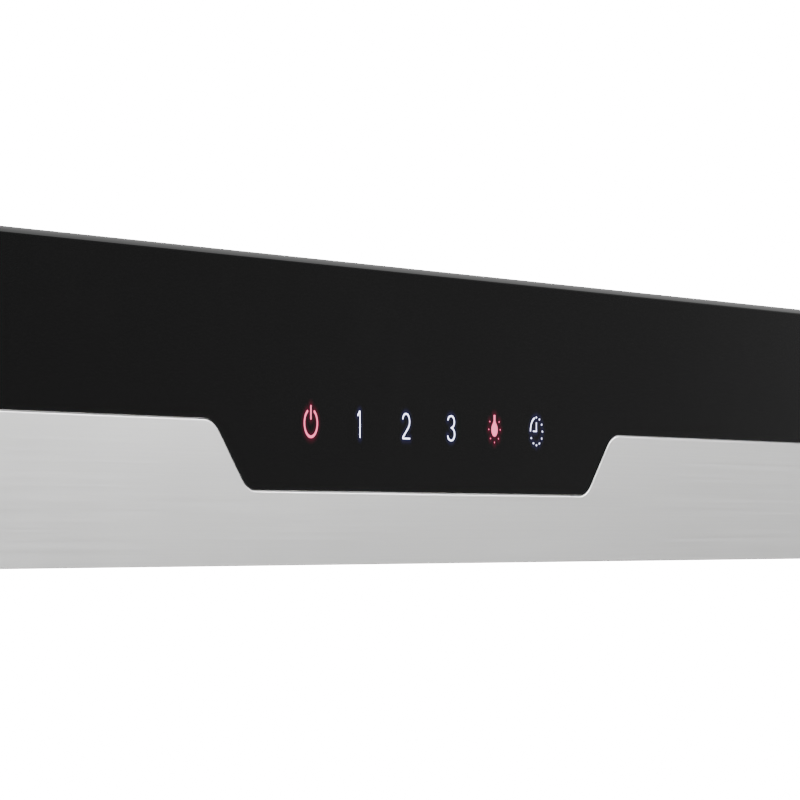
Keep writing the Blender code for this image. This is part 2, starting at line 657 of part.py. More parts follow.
def make_impellers():
    centre = (0, SCROLL_CENTRE_Y, SCROLL_CENTRE_Z)
    disc_start = MOTOR_HALF_LENGTH + MOTOR_BOSS_LENGTH + 0.001
    ring_end = SCROLL_HALF_WIDTH - IMPELLER_END_ROOM
    shaft_end = ring_end - 0.002
    add("motor_shaft", rod(SHAFT_RADIUS, -shaft_end, shaft_end, 16, "X", centre), "zinc_steel", "impeller")
    rim = 0.002
    bore = SHAFT_RADIUS + FIT_GAP
    inner = IMPELLER_RADIUS - BLADE_DEPTH
    for side, sign in SIDES:
        profile = [
            (bore, disc_start),
            (IMPELLER_RADIUS, disc_start),
            (IMPELLER_RADIUS, disc_start + rim),
            (3 * SHAFT_RADIUS, disc_start + rim),
            (3 * SHAFT_RADIUS, disc_start + 4 * rim),
            (bore, disc_start + 4 * rim),
        ]
        hub = lathe([(radius, sign * x) for radius, x in profile], 36, "X", centre, ring=True)
        wheel = add("impeller_" + side, hub, "zinc_steel", "impeller")
        blades = bmesh.new()
        blade_start, blade_end = sorted((sign * (disc_start + rim / 2), sign * (ring_end - rim / 2)))
        for number in range(BLADES):
            blade = box((blade_start, -BLADE_THICKNESS / 2, -BLADE_DEPTH / 2 + rim / 2),
                        (blade_end, BLADE_THICKNESS / 2, BLADE_DEPTH / 2 - rim / 2))
            tilt = Matrix.Rotation(math.radians(BLADE_ANGLE), 4, "X")
            out = Matrix.Translation((0, 0, (inner + IMPELLER_RADIUS) / 2))
            round_axis = Matrix.Rotation(math.radians(360 * number / BLADES), 4, "X")
            place = Matrix.Translation(centre) @ round_axis @ out @ tilt
            bmesh.ops.transform(blade, verts=blade.verts, matrix=place)
            mesh = bpy.data.meshes.new("blade")
            blade.to_mesh(mesh)
            blade.free()
            blades.from_mesh(mesh)
        combine(wheel, blades, "UNION")
        low, high = sorted((sign * (ring_end - rim), sign * ring_end))
        ring = lathe([(inner, low), (IMPELLER_RADIUS, low), (IMPELLER_RADIUS, high), (inner, high)], 36, "X",
                     centre, ring=True)
        combine(wheel, ring, "UNION")


def make_collar():
    bottom = COLLAR_BOTTOM
    flange = DUCT_RADIUS + COLLAR_FLANGE
    profile = [
        (COLLAR_INNER, bottom),
        (flange, bottom),
        (flange, bottom + COLLAR_WALL),
        (DUCT_RADIUS, bottom + COLLAR_WALL),
        (DUCT_RADIUS, bottom + COLLAR_HEIGHT),
        (COLLAR_INNER, bottom + COLLAR_HEIGHT),
    ]
    collar = add("duct_collar", lathe(profile, 48, ring=True), "zinc_steel", "canopy")
    pin_reach = DUCT_RADIUS + PIN_STICK_OUT
    for side, sign in SIDES:
        place = (sign * DAMPER_PIN_OFFSET, 0, DAMPER_Z)
        combine(collar, rod(DAMPER_PIN_RADIUS + FIT_GAP, -2 * DUCT_RADIUS, 2 * DUCT_RADIUS, 12, "Y", place))
        add("damper_pin_" + side, rod(DAMPER_PIN_RADIUS, -pin_reach, pin_reach, 12, "Y", place), "zinc_steel",
            "canopy")


def make_dampers():
    radius = COLLAR_INNER - DAMPER_EDGE_GAP
    edge = DAMPER_PIN_OFFSET + DAMPER_SLEEVE_RADIUS - DAMPER_SHEET / 2
    first = math.acos(edge / radius)
    steps = 24
    for side, sign in SIDES:
        outline = []
        for step in range(steps + 1):
            angle = first - 2 * first * step / steps
            outline.append((sign * radius * math.cos(angle), radius * math.sin(angle)))
        plate = prism(outline, "Z", DAMPER_Z - DAMPER_SHEET / 2, DAMPER_Z + DAMPER_SHEET / 2)
        flap = add("damper_flap_" + side, plate, "damper_plate", "damper_" + side)
        place = (sign * DAMPER_PIN_OFFSET, 0, DAMPER_Z)
        length = DAMPER_SLEEVE_HALF_LENGTH
        combine(flap, rod(DAMPER_SLEEVE_RADIUS, -length, length, 12, "Y", place), "UNION")
        combine(flap, rod(DAMPER_PIN_RADIUS + FIT_GAP, -2 * length, 2 * length, 12, "Y", place))


def make_filters():
    """Each filter is a channel frame open inwards, with a latch in the middle of its front edge."""
    half_y = FILTER_HALF_LENGTH
    rim = FILTER_RIM
    wall = FILTER_SHEET
    for side, sign in SIDES:
        near = OPENING_INNER + FILTER_GAP
        far = OPENING_OUTER - FILTER_GAP
        x_low, x_high = sorted((sign * near, sign * far))
        middle = (x_low + x_high) / 2
        frame = add("filter_frame_" + side, box((x_low, -half_y, PAN_BOTTOM), (x_high, half_y, FILTER_TOP)),
                    "filter_steel", "filter_" + side)
        combine(frame, box((x_low + wall, wall - half_y, PAN_BOTTOM + wall),
                           (x_high - wall, half_y - wall, FILTER_TOP - wall)))
        combine(frame, box((x_low + rim, rim - half_y, PAN_BOTTOM - rim),
                           (x_high - rim, half_y - rim, FILTER_TOP + rim)))

        latch_low = PAN_BOTTOM + wall + SLIDE_GAP
        latch_high = FILTER_TOP - wall - SLIDE_GAP
        gate_x = LATCH_HALF_WIDTH + SLIDE_GAP
        combine(frame, box((middle - gate_x, -half_y - wall, latch_low - SLIDE_GAP / 2),
                           (middle + gate_x, 2 * wall - half_y, latch_high + SLIDE_GAP / 2)))
        finger_x = LATCH_HALF_WIDTH - 2 * LATCH_INSET
        latch_end = -half_y + LATCH_LENGTH
        combine(frame, box((middle - finger_x, -half_y + LATCH_INSET, PAN_BOTTOM - wall),
                           (middle + finger_x, latch_end + LATCH_TRAVEL, latch_low - SLIDE_GAP / 2)))
        latch_tip = -OPENING_HALF_LENGTH + FIT_GAP
        latch = box((middle - LATCH_HALF_WIDTH, latch_tip, latch_low),
                    (middle + LATCH_HALF_WIDTH, latch_end, latch_high))
        latch_piece = add("filter_latch_" + side, latch, "dark_plastic", "latch_" + side)
        thumb_x = finger_x / 2
        thumb = box((middle - thumb_x, -half_y + 2 * LATCH_INSET, PAN_BOTTOM - wall),
                    (middle + thumb_x, latch_end - LATCH_INSET, latch_low + 2 * LATCH_INSET))
        combine(latch_piece, thumb)
        make_baffles(side, x_low + rim, x_high - rim)


def make_baffles(side, window_low, window_high):
    """Two staggered rows of slats, joined by cross bars, tucked into the frame's channel."""
    low = PAN_BOTTOM + FILTER_SHEET + FIT_GAP
    high = FILTER_TOP - FILTER_SHEET - FIT_GAP
    half_y = FILTER_HALF_LENGTH - FILTER_RIM + BAFFLE_TUCK
    left, right = window_low - BAFFLE_TUCK, window_high + BAFFLE_TUCK
    bar = box((left, -half_y, low), (right, CROSS_BAR - half_y, high))
    pack = add("filter_baffles_" + side, bar, "filter_steel", "filter_" + side)
    for start in (-CROSS_BAR / 2, half_y - CROSS_BAR):
        combine(pack, box((left, start, low), (right, start + CROSS_BAR, high)), "UNION")
    first = left + SLIDE_GAP + BAFFLE_WIDTH / 2
    last = right - SLIDE_GAP - BAFFLE_WIDTH / 2
    count = round((last - first) / BAFFLE_PITCH) + 1
    pitch = (last - first) / (count - 1)
    for level, slats in (("lower", count), ("upper", count - 1)):
        start = first if level == "lower" else first + pitch / 2
        bottom = low + FILTER_SHEET if level == "lower" else high - 2 * FILTER_SHEET
        row = bmesh.new()
        for number in range(slats):
            x = start + number * pitch
            slat = box((x - BAFFLE_WIDTH / 2, CROSS_BAR / 2 - half_y, bottom),
                       (x + BAFFLE_WIDTH / 2, half_y - CROSS_BAR / 2, bottom + FILTER_SHEET))
            mesh = bpy.data.meshes.new("slat")
            slat.to_mesh(mesh)
            slat.free()
            row.from_mesh(mesh)
        combine(pack, row, "UNION")


def make_supply_box():
    left = BOX_FROM_SIDE - HALF_WIDTH
    right = left + BOX_WIDTH
    half_y = BOX_LENGTH / 2
    top = CANOPY_TOP - SHEET - FIT_GAP
    bottom = top - BOX_HEIGHT
    low, high = (left, -half_y, bottom), (right, half_y, top)
    tray("power_box", low, high, BOX_WALL, "bottom", "zinc_steel", "canopy")
    lid_top = bottom - FIT_GAP
    lid = box((left, -half_y, lid_top - BOX_WALL), (right, half_y, lid_top))
    add("power_box_lid", lid, "zinc_steel", "canopy")
    room = BOX_WALL + 4 * SLIDE_GAP
    board_top = top - 2 * room
    add("power_board", box((left + room, room - half_y, board_top - BOARD_THICKNESS),
                           (right - room, half_y - room, board_top)), "circuit_board", "canopy")
    centre_z = board_top - BOARD_THICKNESS - CAPACITOR_RADIUS - SLIDE_GAP
    capacitor = rod(CAPACITOR_RADIUS, -CAPACITOR_LENGTH / 2, CAPACITOR_LENGTH / 2, 24, "Y",
                    ((left + right) / 2, 0, centre_z))
    add("capacitor", capacitor, "white_plastic", "canopy")


# The control cable's route inside the canopy, from the control housing to the supply box.
CABLE_ROUTE = (
    (-0.0953, -0.3330, -0.9220),
    (-0.1250, -0.3325, -0.9190),
    (-0.1800, -0.3290, -0.9100),
    (-0.2500, -0.3280, -0.9040),
    (-0.3100, -0.3240, -0.9030),
    (-0.3500, -0.3050, -0.9030),
    (-0.3700, -0.2600, -0.9030),
    (-0.3760, -0.2000, -0.9040),
    (-0.3790, -0.1400, -0.9060),
    (-0.3800, -0.0803, -0.9070),
)


def smooth_route(points, steps):
    """Points along a Catmull-Rom curve through the route's own points."""
    route = [Vector(point) for point in points]
    ends = [2 * route[0] - route[1], *route, 2 * route[-1] - route[-2]]
    smooth = []
    for before, start, end, after in zip(ends, ends[1:], ends[2:], ends[3:]):
        for step in range(steps):
            t = step / steps
            smooth.append(0.5 * (2 * start + (end - before) * t
                                 + (2 * before - 5 * start + 4 * end - after) * t * t
                                 + (3 * start - before - 3 * end + after) * t ** 3))
    smooth.append(route[-1])
    return smooth


def make_cable():
    points = smooth_route(CABLE_ROUTE, 4)
    curve = bpy.data.curves.new("control_cable", "CURVE")
    curve.dimensions = "3D"
    curve.bevel_depth = CABLE_RADIUS
    curve.bevel_resolution = 2
    curve.use_fill_caps = True
    spline = curve.splines.new("POLY")
    spline.points.add(len(points) - 1)
    for target, point in zip(spline.points, points):
        target.co = (*(point - PIVOTS["canopy"]), 1.0)
    curve.materials.append(finish("control_cable", "cable_jacket"))
    cable = bpy.data.objects.new("control_cable", curve)
    bpy.context.collection.objects.link(cable)
    cable.parent = EMPTIES["canopy"]


clear_scene()
make_bodies()
make_ceiling_plate()
make_rails()
make_chimneys()
make_canopy_shell()
make_faces()
make_bottom_pan()
make_lamps()
make_controls()
make_blower_box()
make_scroll()
make_motor()
make_impellers()
make_collar()
make_dampers()
make_filters()
make_supply_box()
make_cable()
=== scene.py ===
# %% [markdown]
# # Island range hood
# This lesson dresses a working model of an island hood: a flat steel canopy under a square chimney,
# with a black glass band whose tab carries the lit touch keys. The working model gives every part
# its size, its place and its joints. Here each visible part gets soft edges, fine fittings and a
# finish of its own. All lengths are metres, and every piece keeps the working model's frame.

# %% Load the working model
import json
import math

import bmesh
import bpy
from mathutils import Matrix, Vector
from mathutils.bvhtree import BVHTree


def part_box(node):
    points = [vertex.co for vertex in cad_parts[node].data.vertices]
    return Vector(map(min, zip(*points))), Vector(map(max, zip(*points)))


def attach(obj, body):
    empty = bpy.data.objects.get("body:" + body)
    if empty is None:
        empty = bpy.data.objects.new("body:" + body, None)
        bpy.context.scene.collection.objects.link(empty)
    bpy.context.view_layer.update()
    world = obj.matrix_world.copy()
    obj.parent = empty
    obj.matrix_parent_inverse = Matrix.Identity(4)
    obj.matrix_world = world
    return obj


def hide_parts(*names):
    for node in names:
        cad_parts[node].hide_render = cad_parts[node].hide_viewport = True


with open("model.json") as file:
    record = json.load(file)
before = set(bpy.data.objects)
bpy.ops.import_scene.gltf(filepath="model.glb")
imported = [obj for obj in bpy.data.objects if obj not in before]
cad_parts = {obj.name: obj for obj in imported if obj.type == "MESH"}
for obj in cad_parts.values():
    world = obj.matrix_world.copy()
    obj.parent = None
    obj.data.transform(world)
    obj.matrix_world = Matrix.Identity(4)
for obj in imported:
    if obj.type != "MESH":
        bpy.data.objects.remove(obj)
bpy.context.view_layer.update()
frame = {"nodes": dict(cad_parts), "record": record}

MM = 0.001
WHITE = (1.0, 1.0, 1.0, 1.0)
BLACK = (0.0, 0.0, 0.0, 1.0)

# %% [markdown]
# ## The camera
# The hood is seen close up from the left end of its front, a little above the canopy's lower edge
# and looking slightly upwards. A long lens keeps the band's two edges almost parallel.

# %% Camera
front_low, front_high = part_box("front_glass")
FACE_Y = front_low.y
CANOPY_TOP = front_high.z
CANOPY_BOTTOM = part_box("canopy_shell")[0].z
CAMERA_PLACE = Vector((-1.2004, FACE_Y - 0.6016, CANOPY_TOP - 0.0712))
CAMERA_HEADING = math.radians(26.951)
CAMERA_PITCH = math.radians(1.523)
LENS = 222.4
VIEW_REACH = 100

camera_data = bpy.data.cameras.new("camera")
camera_data.lens = LENS
camera_data.clip_end = VIEW_REACH
camera = bpy.data.objects.new("camera", camera_data)
bpy.context.collection.objects.link(camera)
bpy.context.scene.camera = camera
gaze = Vector((
    math.cos(CAMERA_HEADING) * math.cos(CAMERA_PITCH),
    math.sin(CAMERA_HEADING) * math.cos(CAMERA_PITCH),
    math.sin(CAMERA_PITCH),
))
camera.location = CAMERA_PLACE
camera.rotation_mode = "QUATERNION"
camera.rotation_quaternion = gaze.to_track_quat("-Z", "Y")
print("camera", [round(value, 3) for value in CAMERA_PLACE])

# %% [markdown]
# ## Short ways to write node trees
# Every finish below is a node tree. A small helper keeps them readable: it adds a node with its
# settings, joins sockets, and writes sums as one call.

# %% Node helper
class Tree:
    """Adds and joins nodes in one tree."""

    def __init__(self, tree):
        self.tree = tree

    def add(self, kind, values=None, **settings):
        node = self.tree.nodes.new(kind)
        for name, value in settings.items():
            setattr(node, name, value)
        for name, value in (values or {}).items():
            self.put(node.inputs[name], value)
        return node

    def put(self, socket, value):
        if isinstance(value, bpy.types.NodeSocket):
            self.tree.links.new(value, socket)
        else:
            socket.default_value = value

    def math(self, operation, first, second=0.5):
        return self.add("ShaderNodeMath", {0: first, 1: second}, operation=operation).outputs[0]

    def noise(self, vector, scale, detail):
        values = {"Vector": vector, "Scale": scale, "Detail": detail}
        return self.add("ShaderNodeTexNoise", values).outputs

    def ramp(self, value, low, high, start=0.0, end=1.0):
        node = self.add("ShaderNodeMapRange", interpolation_type="SMOOTHSTEP")
        for name, number in zip(("Value", "From Min", "From Max", "To Min", "To Max"),
                                (value, low, high, start, end)):
            self.put(node.inputs[name], number)
        return node.outputs["Result"]

    def either(self, amount, first, second):
        node = self.add("ShaderNodeMix", {0: amount, 2: first, 3: second}, data_type="FLOAT")
        return node.outputs[0]

    def blend(self, amount, first, second):
        node = self.add("ShaderNodeMix", data_type="RGBA")
        self.put(node.inputs[0], amount)
        self.put(node.inputs[6], first)
        self.put(node.inputs[7], second)
        return node.outputs[2]


def group(name, inputs, outputs):
    """An empty node group with named inputs and outputs."""
    tree = bpy.data.node_groups.new(name, "ShaderNodeTree")
    for label, kind, value in inputs:
        socket = tree.interface.new_socket(name=label, in_out="INPUT", socket_type="NodeSocket" + kind)
        if kind == "Float":
            socket.default_value = value
    for label, kind in outputs:
        tree.interface.new_socket(name=label, in_out="OUTPUT", socket_type="NodeSocket" + kind)
    nodes = Tree(tree)
    return nodes, nodes.add("NodeGroupInput").outputs, nodes.add("NodeGroupOutput").inputs

# %% [markdown]
# ## Stage
# A white studio: a pale floor well below the hood that fades into a white surround, broad soft
# lights, and a dim stretch of wall on the right. The polished band mirrors that dim stretch, as black
# glass in a studio does, while the satin steel, which blurs its surroundings, stays bright.

# %% World
# Strengths: the white surround as the camera sees it, and the light from each side of the room.
BACKDROP = 20.0
FAR_SIDE = 0.42
KEY_SIDE = 1.45
KEY_HEADING = Vector((-0.35, -0.60, 0.72)).normalized()
DIM_WALL = 0.130
DIM_HEADING = Vector((0.857, -0.515, 0.0)).normalized()
# The dim stretch is whole inside the first cosine and gone outside the second.
DIM_INNER = 0.9935
DIM_OUTER = 0.950

world = bpy.data.worlds.new("studio")
bpy.context.scene.world = world
world.use_nodes = True
sky = Tree(world.node_tree)
world.node_tree.nodes.clear()
direction = sky.add("ShaderNodeTexCoord").outputs["Generated"]
towards_key = sky.add("ShaderNodeVectorMath", {0: direction, 1: KEY_HEADING}, operation="DOT_PRODUCT")
bright = sky.ramp(towards_key.outputs["Value"], -1.0, 1.0, FAR_SIDE, KEY_SIDE)
towards_dim = sky.add("ShaderNodeVectorMath", {0: direction, 1: DIM_HEADING}, operation="DOT_PRODUCT")
shade = sky.ramp(towards_dim.outputs["Value"], DIM_OUTER, DIM_INNER)
surround = sky.either(shade, bright, DIM_WALL)
seen = sky.add("ShaderNodeLightPath").outputs["Is Camera Ray"]
lit = sky.add("ShaderNodeBackground", {"Color": WHITE, "Strength": surround})
white = sky.add("ShaderNodeBackground", {"Color": WHITE, "Strength": BACKDROP})
mix = sky.add("ShaderNodeMixShader", {0: seen, 1: lit.outputs[0], 2: white.outputs[0]})
sky.add("ShaderNodeOutputWorld", {"Surface": mix.outputs[0]})

# %% Floor
FLOOR_DROP = 1.70
FLOOR_RADIUS = 60.0
FLOOR_NEAR = 1.5
FLOOR_FAR = 7.0
FLOOR_SIDES = 96
FLOOR_PAINT = (0.62, 0.62, 0.61, 1.0)

floor_bm = bmesh.new()
bmesh.ops.create_circle(floor_bm, cap_ends=True, segments=FLOOR_SIDES, radius=FLOOR_RADIUS)
bmesh.ops.translate(floor_bm, verts=floor_bm.verts, vec=(0, 0, CANOPY_BOTTOM - FLOOR_DROP))
floor_mesh = bpy.data.meshes.new("floor")
floor_bm.to_mesh(floor_mesh)
floor_bm.free()
floor = bpy.data.objects.new("floor", floor_mesh)
bpy.context.collection.objects.link(floor)
floor_material = bpy.data.materials.new("pale_floor")
floor_material.use_nodes = True
paint = Tree(floor_material.node_tree)
floor_material.node_tree.nodes.clear()
spot = paint.add("ShaderNodeTexCoord").outputs["Object"]
flat_spot = paint.add("ShaderNodeVectorMath", {0: spot, 1: (1.0, 1.0, 0.0)}, operation="MULTIPLY")
reach = paint.add("ShaderNodeVectorMath", {0: flat_spot.outputs[0]}, operation="LENGTH")
fade = paint.ramp(reach.outputs["Value"], FLOOR_NEAR, FLOOR_FAR)
seen = paint.add("ShaderNodeLightPath").outputs["Is Camera Ray"]
matt = paint.add("ShaderNodeBsdfDiffuse", {"Color": FLOOR_PAINT})
glow = paint.add("ShaderNodeEmission", {"Color": WHITE, "Strength": BACKDROP})
amount = paint.math("MULTIPLY", fade, seen)
upper_side = paint.add("ShaderNodeMixShader", {0: amount, 1: matt.outputs[0], 2: glow.outputs[0]})
below = paint.add("ShaderNodeNewGeometry").outputs["Backfacing"]
clear = paint.add("ShaderNodeBsdfTransparent")
mix = paint.add("ShaderNodeMixShader", {0: below, 1: upper_side.outputs[0], 2: clear.outputs[0]})
paint.add("ShaderNodeOutputMaterial", {"Surface": mix.outputs[0]})
floor_mesh.materials.append(floor_material)

# %% Lights
def soft_light(name, place, target, size, power):
    data = bpy.data.lights.new(name, "AREA")
    data.shape = "DISK"
    data.size = size
    data.energy = power
    light = bpy.data.objects.new(name, data)
    bpy.context.collection.objects.link(light)
    light.location = place
    light.rotation_mode = "QUATERNION"
    light.rotation_quaternion = (Vector(target) - Vector(place)).to_track_quat("-Z", "Y")
    light.visible_camera = False
    return light


soft_light("key", (-2.2, -3.2, 1.6), (0, 0, -0.8), 2.2, 90)
front_panel = soft_light("front_panel", (0.76, -0.84, -0.58), (0.0, -0.35, -0.93), 0.30, 14.0)
panel_receivers = bpy.data.collections.new("steel_front")
front_panel.light_linking.receiver_collection = panel_receivers
soft_light("rim", (2.6, 2.4, 1.2), (0, 0, -0.6), 1.8, 60)
soft_light("under", (0.3, 0.4, -2.5), (0, 0, -0.95), 1.6, 16)
print("stage ready, floor at", round(CANOPY_BOTTOM - FLOOR_DROP, 3))

# %% [markdown]
# ## Shared surface effects
# Five effects serve more than one piece, so each is a node group built once. Brushed grain is noise
# pulled out along one direction of the sheet, and it follows whichever way a face looks.

# %% Brushed grain
nodes, given, result = group(
    "brushed_grain",
    [("Vector", "Vector", None), ("Normal", "Vector", None),
     ("Upright", "Float", 0.0), ("Fineness", "Float", 1.0)],
    [("Grain", "Float"), ("Height", "Float")],
)
ALONG_GRAIN = 7.0
ACROSS_GRAIN = 1500.0
FACING_SIDE = 0.7
place = nodes.add("ShaderNodeSeparateXYZ", {0: given["Vector"]}).outputs
facing = nodes.add("ShaderNodeSeparateXYZ", {0: given["Normal"]}).outputs
on_side = nodes.math("GREATER_THAN", nodes.math("ABSOLUTE", facing[0]), FACING_SIDE)
level = nodes.either(on_side, place[0], place[1])
other = nodes.either(on_side, place[1], place[0])
along = nodes.either(given["Upright"], level, place[2])
across = nodes.either(given["Upright"], place[2], level)
pulled = nodes.add("ShaderNodeCombineXYZ", {
    0: nodes.math("MULTIPLY", along, ALONG_GRAIN),
    1: nodes.math("MULTIPLY", across, ACROSS_GRAIN),
    2: nodes.math("MULTIPLY", other, ACROSS_GRAIN),
}).outputs[0]
lines = nodes.add("ShaderNodeTexNoise", {
    "Vector": pulled, "Scale": given["Fineness"], "Detail": 4.0, "Roughness": 0.65,
}).outputs[0]
nodes.put(result["Grain"], nodes.ramp(lines, 0.30, 0.70))
nodes.put(result["Height"], lines)

# %% [markdown]
# Handling marks are faint, broad patches where hands and cloths have changed the sheen. Settled dust
# lies only where a surface looks up, and is thicker in patches.

# %% Handling marks and settled dust
nodes, given, result = group("handling_marks", [("Vector", "Vector", None), ("Scale", "Float", 6.0)],
                             [("Mask", "Float")])
broad = nodes.noise(given["Vector"], given["Scale"], 3.0)
fine_scale = nodes.math("MULTIPLY", given["Scale"], 9.0)
fine = nodes.noise(given["Vector"], fine_scale, 5.0)
both = nodes.math("MULTIPLY", nodes.ramp(broad[0], 0.42, 0.72),
                  nodes.ramp(fine[0], 0.25, 0.80))
nodes.put(result["Mask"], both)

nodes, given, result = group("settled_dust", [("Vector", "Vector", None), ("Normal", "Vector", None)],
                             [("Mask", "Float")])
upward = nodes.ramp(nodes.add("ShaderNodeSeparateXYZ", {0: given["Normal"]}).outputs[2], 0.6, 1.0)
patches = nodes.noise(given["Vector"], 9.0, 6.0)
specks = nodes.noise(given["Vector"], 700.0, 2.0)
cover = nodes.math("MULTIPLY", nodes.ramp(patches[0], 0.35, 0.75, 0.25, 1.0),
                   nodes.ramp(specks[0], 0.45, 0.65, 0.35, 1.0))
nodes.put(result["Mask"], nodes.math("MULTIPLY", upward, cover))

# %% [markdown]
# Moulded plastic has a fine spark-eroded texture, and zinc plating crystallises into a flat pattern of
# cells that catch the light differently.

# %% Moulded texture and zinc cells
nodes, given, result = group("moulded_texture", [("Vector", "Vector", None), ("Scale", "Float", 1800.0)],
                             [("Height", "Float"), ("Mottle", "Float")])
pits = nodes.add("ShaderNodeTexVoronoi", {"Vector": given["Vector"], "Scale": given["Scale"]}, feature="F1")
cloud = nodes.noise(given["Vector"], 60.0, 4.0)
nodes.put(result["Height"], pits.outputs["Distance"])
nodes.put(result["Mottle"], cloud[0])

nodes, given, result = group("zinc_cells", [("Vector", "Vector", None), ("Scale", "Float", 160.0)],
                             [("Tone", "Float"), ("Sheen", "Float")])
bent = nodes.noise(given["Vector"], 90.0, 3.0)
warped = nodes.add("ShaderNodeVectorMath", {0: bent["Color"], 1: (0.006, 0.006, 0.006)},
                   operation="MULTIPLY")
moved = nodes.add("ShaderNodeVectorMath", {0: given["Vector"], 1: warped.outputs[0]}, operation="ADD")
cells = nodes.add("ShaderNodeTexVoronoi", {"Vector": moved.outputs[0], "Scale": given["Scale"]}, feature="F1")
tone = nodes.add("ShaderNodeSeparateColor", {0: cells.outputs["Color"]}).outputs
nodes.put(result["Tone"], tone[0])
nodes.put(result["Sheen"], tone[1])
print("effects", [tree.name for tree in bpy.data.node_groups])

# %% [markdown]
# ## Finishes
# Each finish is one Principled shader with its own numbers. Colour, sheen and relief come from the
# shared effects, read in each piece's own Object coordinates, so they stay with it as it moves.

# %% Start of a finish
def finish(name, metallic=0.0, roughness=0.5, **plain):
    """A Principled material. Returns it with its tree, its shader and its coordinates."""
    material = bpy.data.materials.new(name)
    material.use_nodes = True
    tree = Tree(material.node_tree)
    shader = material.node_tree.nodes["Principled BSDF"]
    shader.inputs["Metallic"].default_value = metallic
    shader.inputs["Roughness"].default_value = roughness
    for label, value in plain.items():
        shader.inputs[label.replace("_", " ")].default_value = value
    where = tree.add("ShaderNodeTexCoord").outputs
    return material, tree, shader.inputs, where


def use(tree, name, values):
    node = tree.add("ShaderNodeGroup")
    node.node_tree = bpy.data.node_groups[name]
    for label, value in values.items():
        tree.put(node.inputs[label], value)
    return node.outputs


def relief(tree, sockets, height, distance, strength=1.0):
    bump = tree.add("ShaderNodeBump", {"Height": height, "Distance": distance, "Strength": strength})
    tree.put(sockets["Normal"], bump.outputs[0])

# %% [markdown]
# Satin steel covers the canopy, the fascia and the chimney. The grain is fine and even, so it only
# just shows: a slight change of tone and sheen, faint cloth marks, and a thin film of dust on top.

# %% Satin steel
DUST_ON_STEEL = (0.42, 0.41, 0.39, 1.0)


def satin_steel(name, light, dark, upright=0.0, roughness=0.36, dust=0.5):
    material, tree, sockets, where = finish(name, metallic=1.0)
    grain = use(tree, "brushed_grain", {
        "Vector": where["Object"], "Normal": where["Normal"], "Upright": upright,
    })
    marks = use(tree, "handling_marks", {"Vector": where["Object"], "Scale": 5.0})["Mask"]
    dirt = use(tree, "settled_dust", {"Vector": where["Object"], "Normal": where["Normal"]})["Mask"]
    toned = tree.blend(tree.math("MULTIPLY", grain["Grain"], 0.35), light, dark)
    film = tree.math("MULTIPLY", dirt, dust)
    tree.put(sockets["Base Color"], tree.blend(film, toned, DUST_ON_STEEL))
    sheen = tree.math("ADD", tree.math("MULTIPLY", grain["Grain"], 0.05), roughness)
    sheen = tree.math("ADD", sheen, tree.math("MULTIPLY", marks, 0.03))
    tree.put(sockets["Roughness"], tree.math("ADD", sheen, tree.math("MULTIPLY", film, 0.35)))
    relief(tree, sockets, grain["Height"], 0.000012)
    return material


canopy_steel = satin_steel("canopy_steel", (0.590, 0.590, 0.585, 1.0), (0.530, 0.530, 0.527, 1.0))
chimney_steel = satin_steel("chimney_steel", (0.600, 0.600, 0.595, 1.0), (0.520, 0.520, 0.517, 1.0),
                            upright=1.0, roughness=0.32, dust=0.0)
filter_steel = satin_steel("filter_steel", (0.640, 0.640, 0.632, 1.0), (0.560, 0.560, 0.553, 1.0),
                           upright=0.0, roughness=0.24, dust=0.2)

# %% [markdown]
# The band is tempered glass printed black behind. Its body is nearly black, its face is polished, and
# the only things that show on it are a trace of wiping marks in the sheen and the bright arris.

# %% Black glass
GLASS_BLACK = (0.0024, 0.0024, 0.0025, 1.0)
GLASS_WIPED = (0.0034, 0.0034, 0.0035, 1.0)
GLASS_ROUGHNESS = 0.035
GLASS_IOR = 1.50


def black_glass(name):
    material, tree, sockets, where = finish(name, IOR=GLASS_IOR)
    marks = use(tree, "handling_marks", {"Vector": where["Object"], "Scale": 11.0})["Mask"]
    tree.put(sockets["Base Color"], tree.blend(marks, GLASS_BLACK, GLASS_WIPED))
    tree.put(sockets["Roughness"], tree.math("ADD", tree.math("MULTIPLY", marks, 0.015), GLASS_ROUGHNESS))
    ripple = tree.noise(where["Object"], 14.0, 1.0)
    relief(tree, sockets, ripple[0], 0.00001)
    return material, tree, sockets


glass_black = black_glass("glass_black")[0]
print("glass", glass_black.name)

# %% [markdown]
# Behind the finished front there are plainer finishes: zinc-plated frames and boxes, mould-textured
# plastics, an enamelled motor, green circuit boards, a rubber cable jacket and moulded lamp lenses.

# %% Plated and enamelled metal
DUST_ON_ZINC = (0.34, 0.33, 0.31, 1.0)
DUST_ON_ENAMEL = (0.20, 0.19, 0.18, 1.0)


def zinc(name, light, dark, roughness):
    material, tree, sockets, where = finish(name, metallic=1.0)
    cell = use(tree, "zinc_cells", {"Vector": where["Object"], "Scale": 130.0})
    dirt = use(tree, "settled_dust", {"Vector": where["Object"], "Normal": where["Normal"]})["Mask"]
    toned = tree.blend(cell["Tone"], dark, light)
    film = tree.math("MULTIPLY", dirt, 0.6)
    tree.put(sockets["Base Color"], tree.blend(film, toned, DUST_ON_ZINC))
    sheen = tree.math("ADD", tree.math("MULTIPLY", cell["Sheen"], 0.16), roughness)
    tree.put(sockets["Roughness"], tree.math("ADD", sheen, tree.math("MULTIPLY", film, 0.4)))
    relief(tree, sockets, cell["Tone"], 0.00001)
    return material


zinc_steel = zinc("zinc_steel", (0.56, 0.57, 0.58, 1.0), (0.44, 0.45, 0.47, 1.0), 0.30)
bolt_zinc = zinc("bolt_zinc", (0.62, 0.62, 0.60, 1.0), (0.52, 0.52, 0.51, 1.0), 0.24)
damper_plate = zinc("damper_plate", (0.66, 0.67, 0.68, 1.0), (0.58, 0.59, 0.60, 1.0), 0.34)

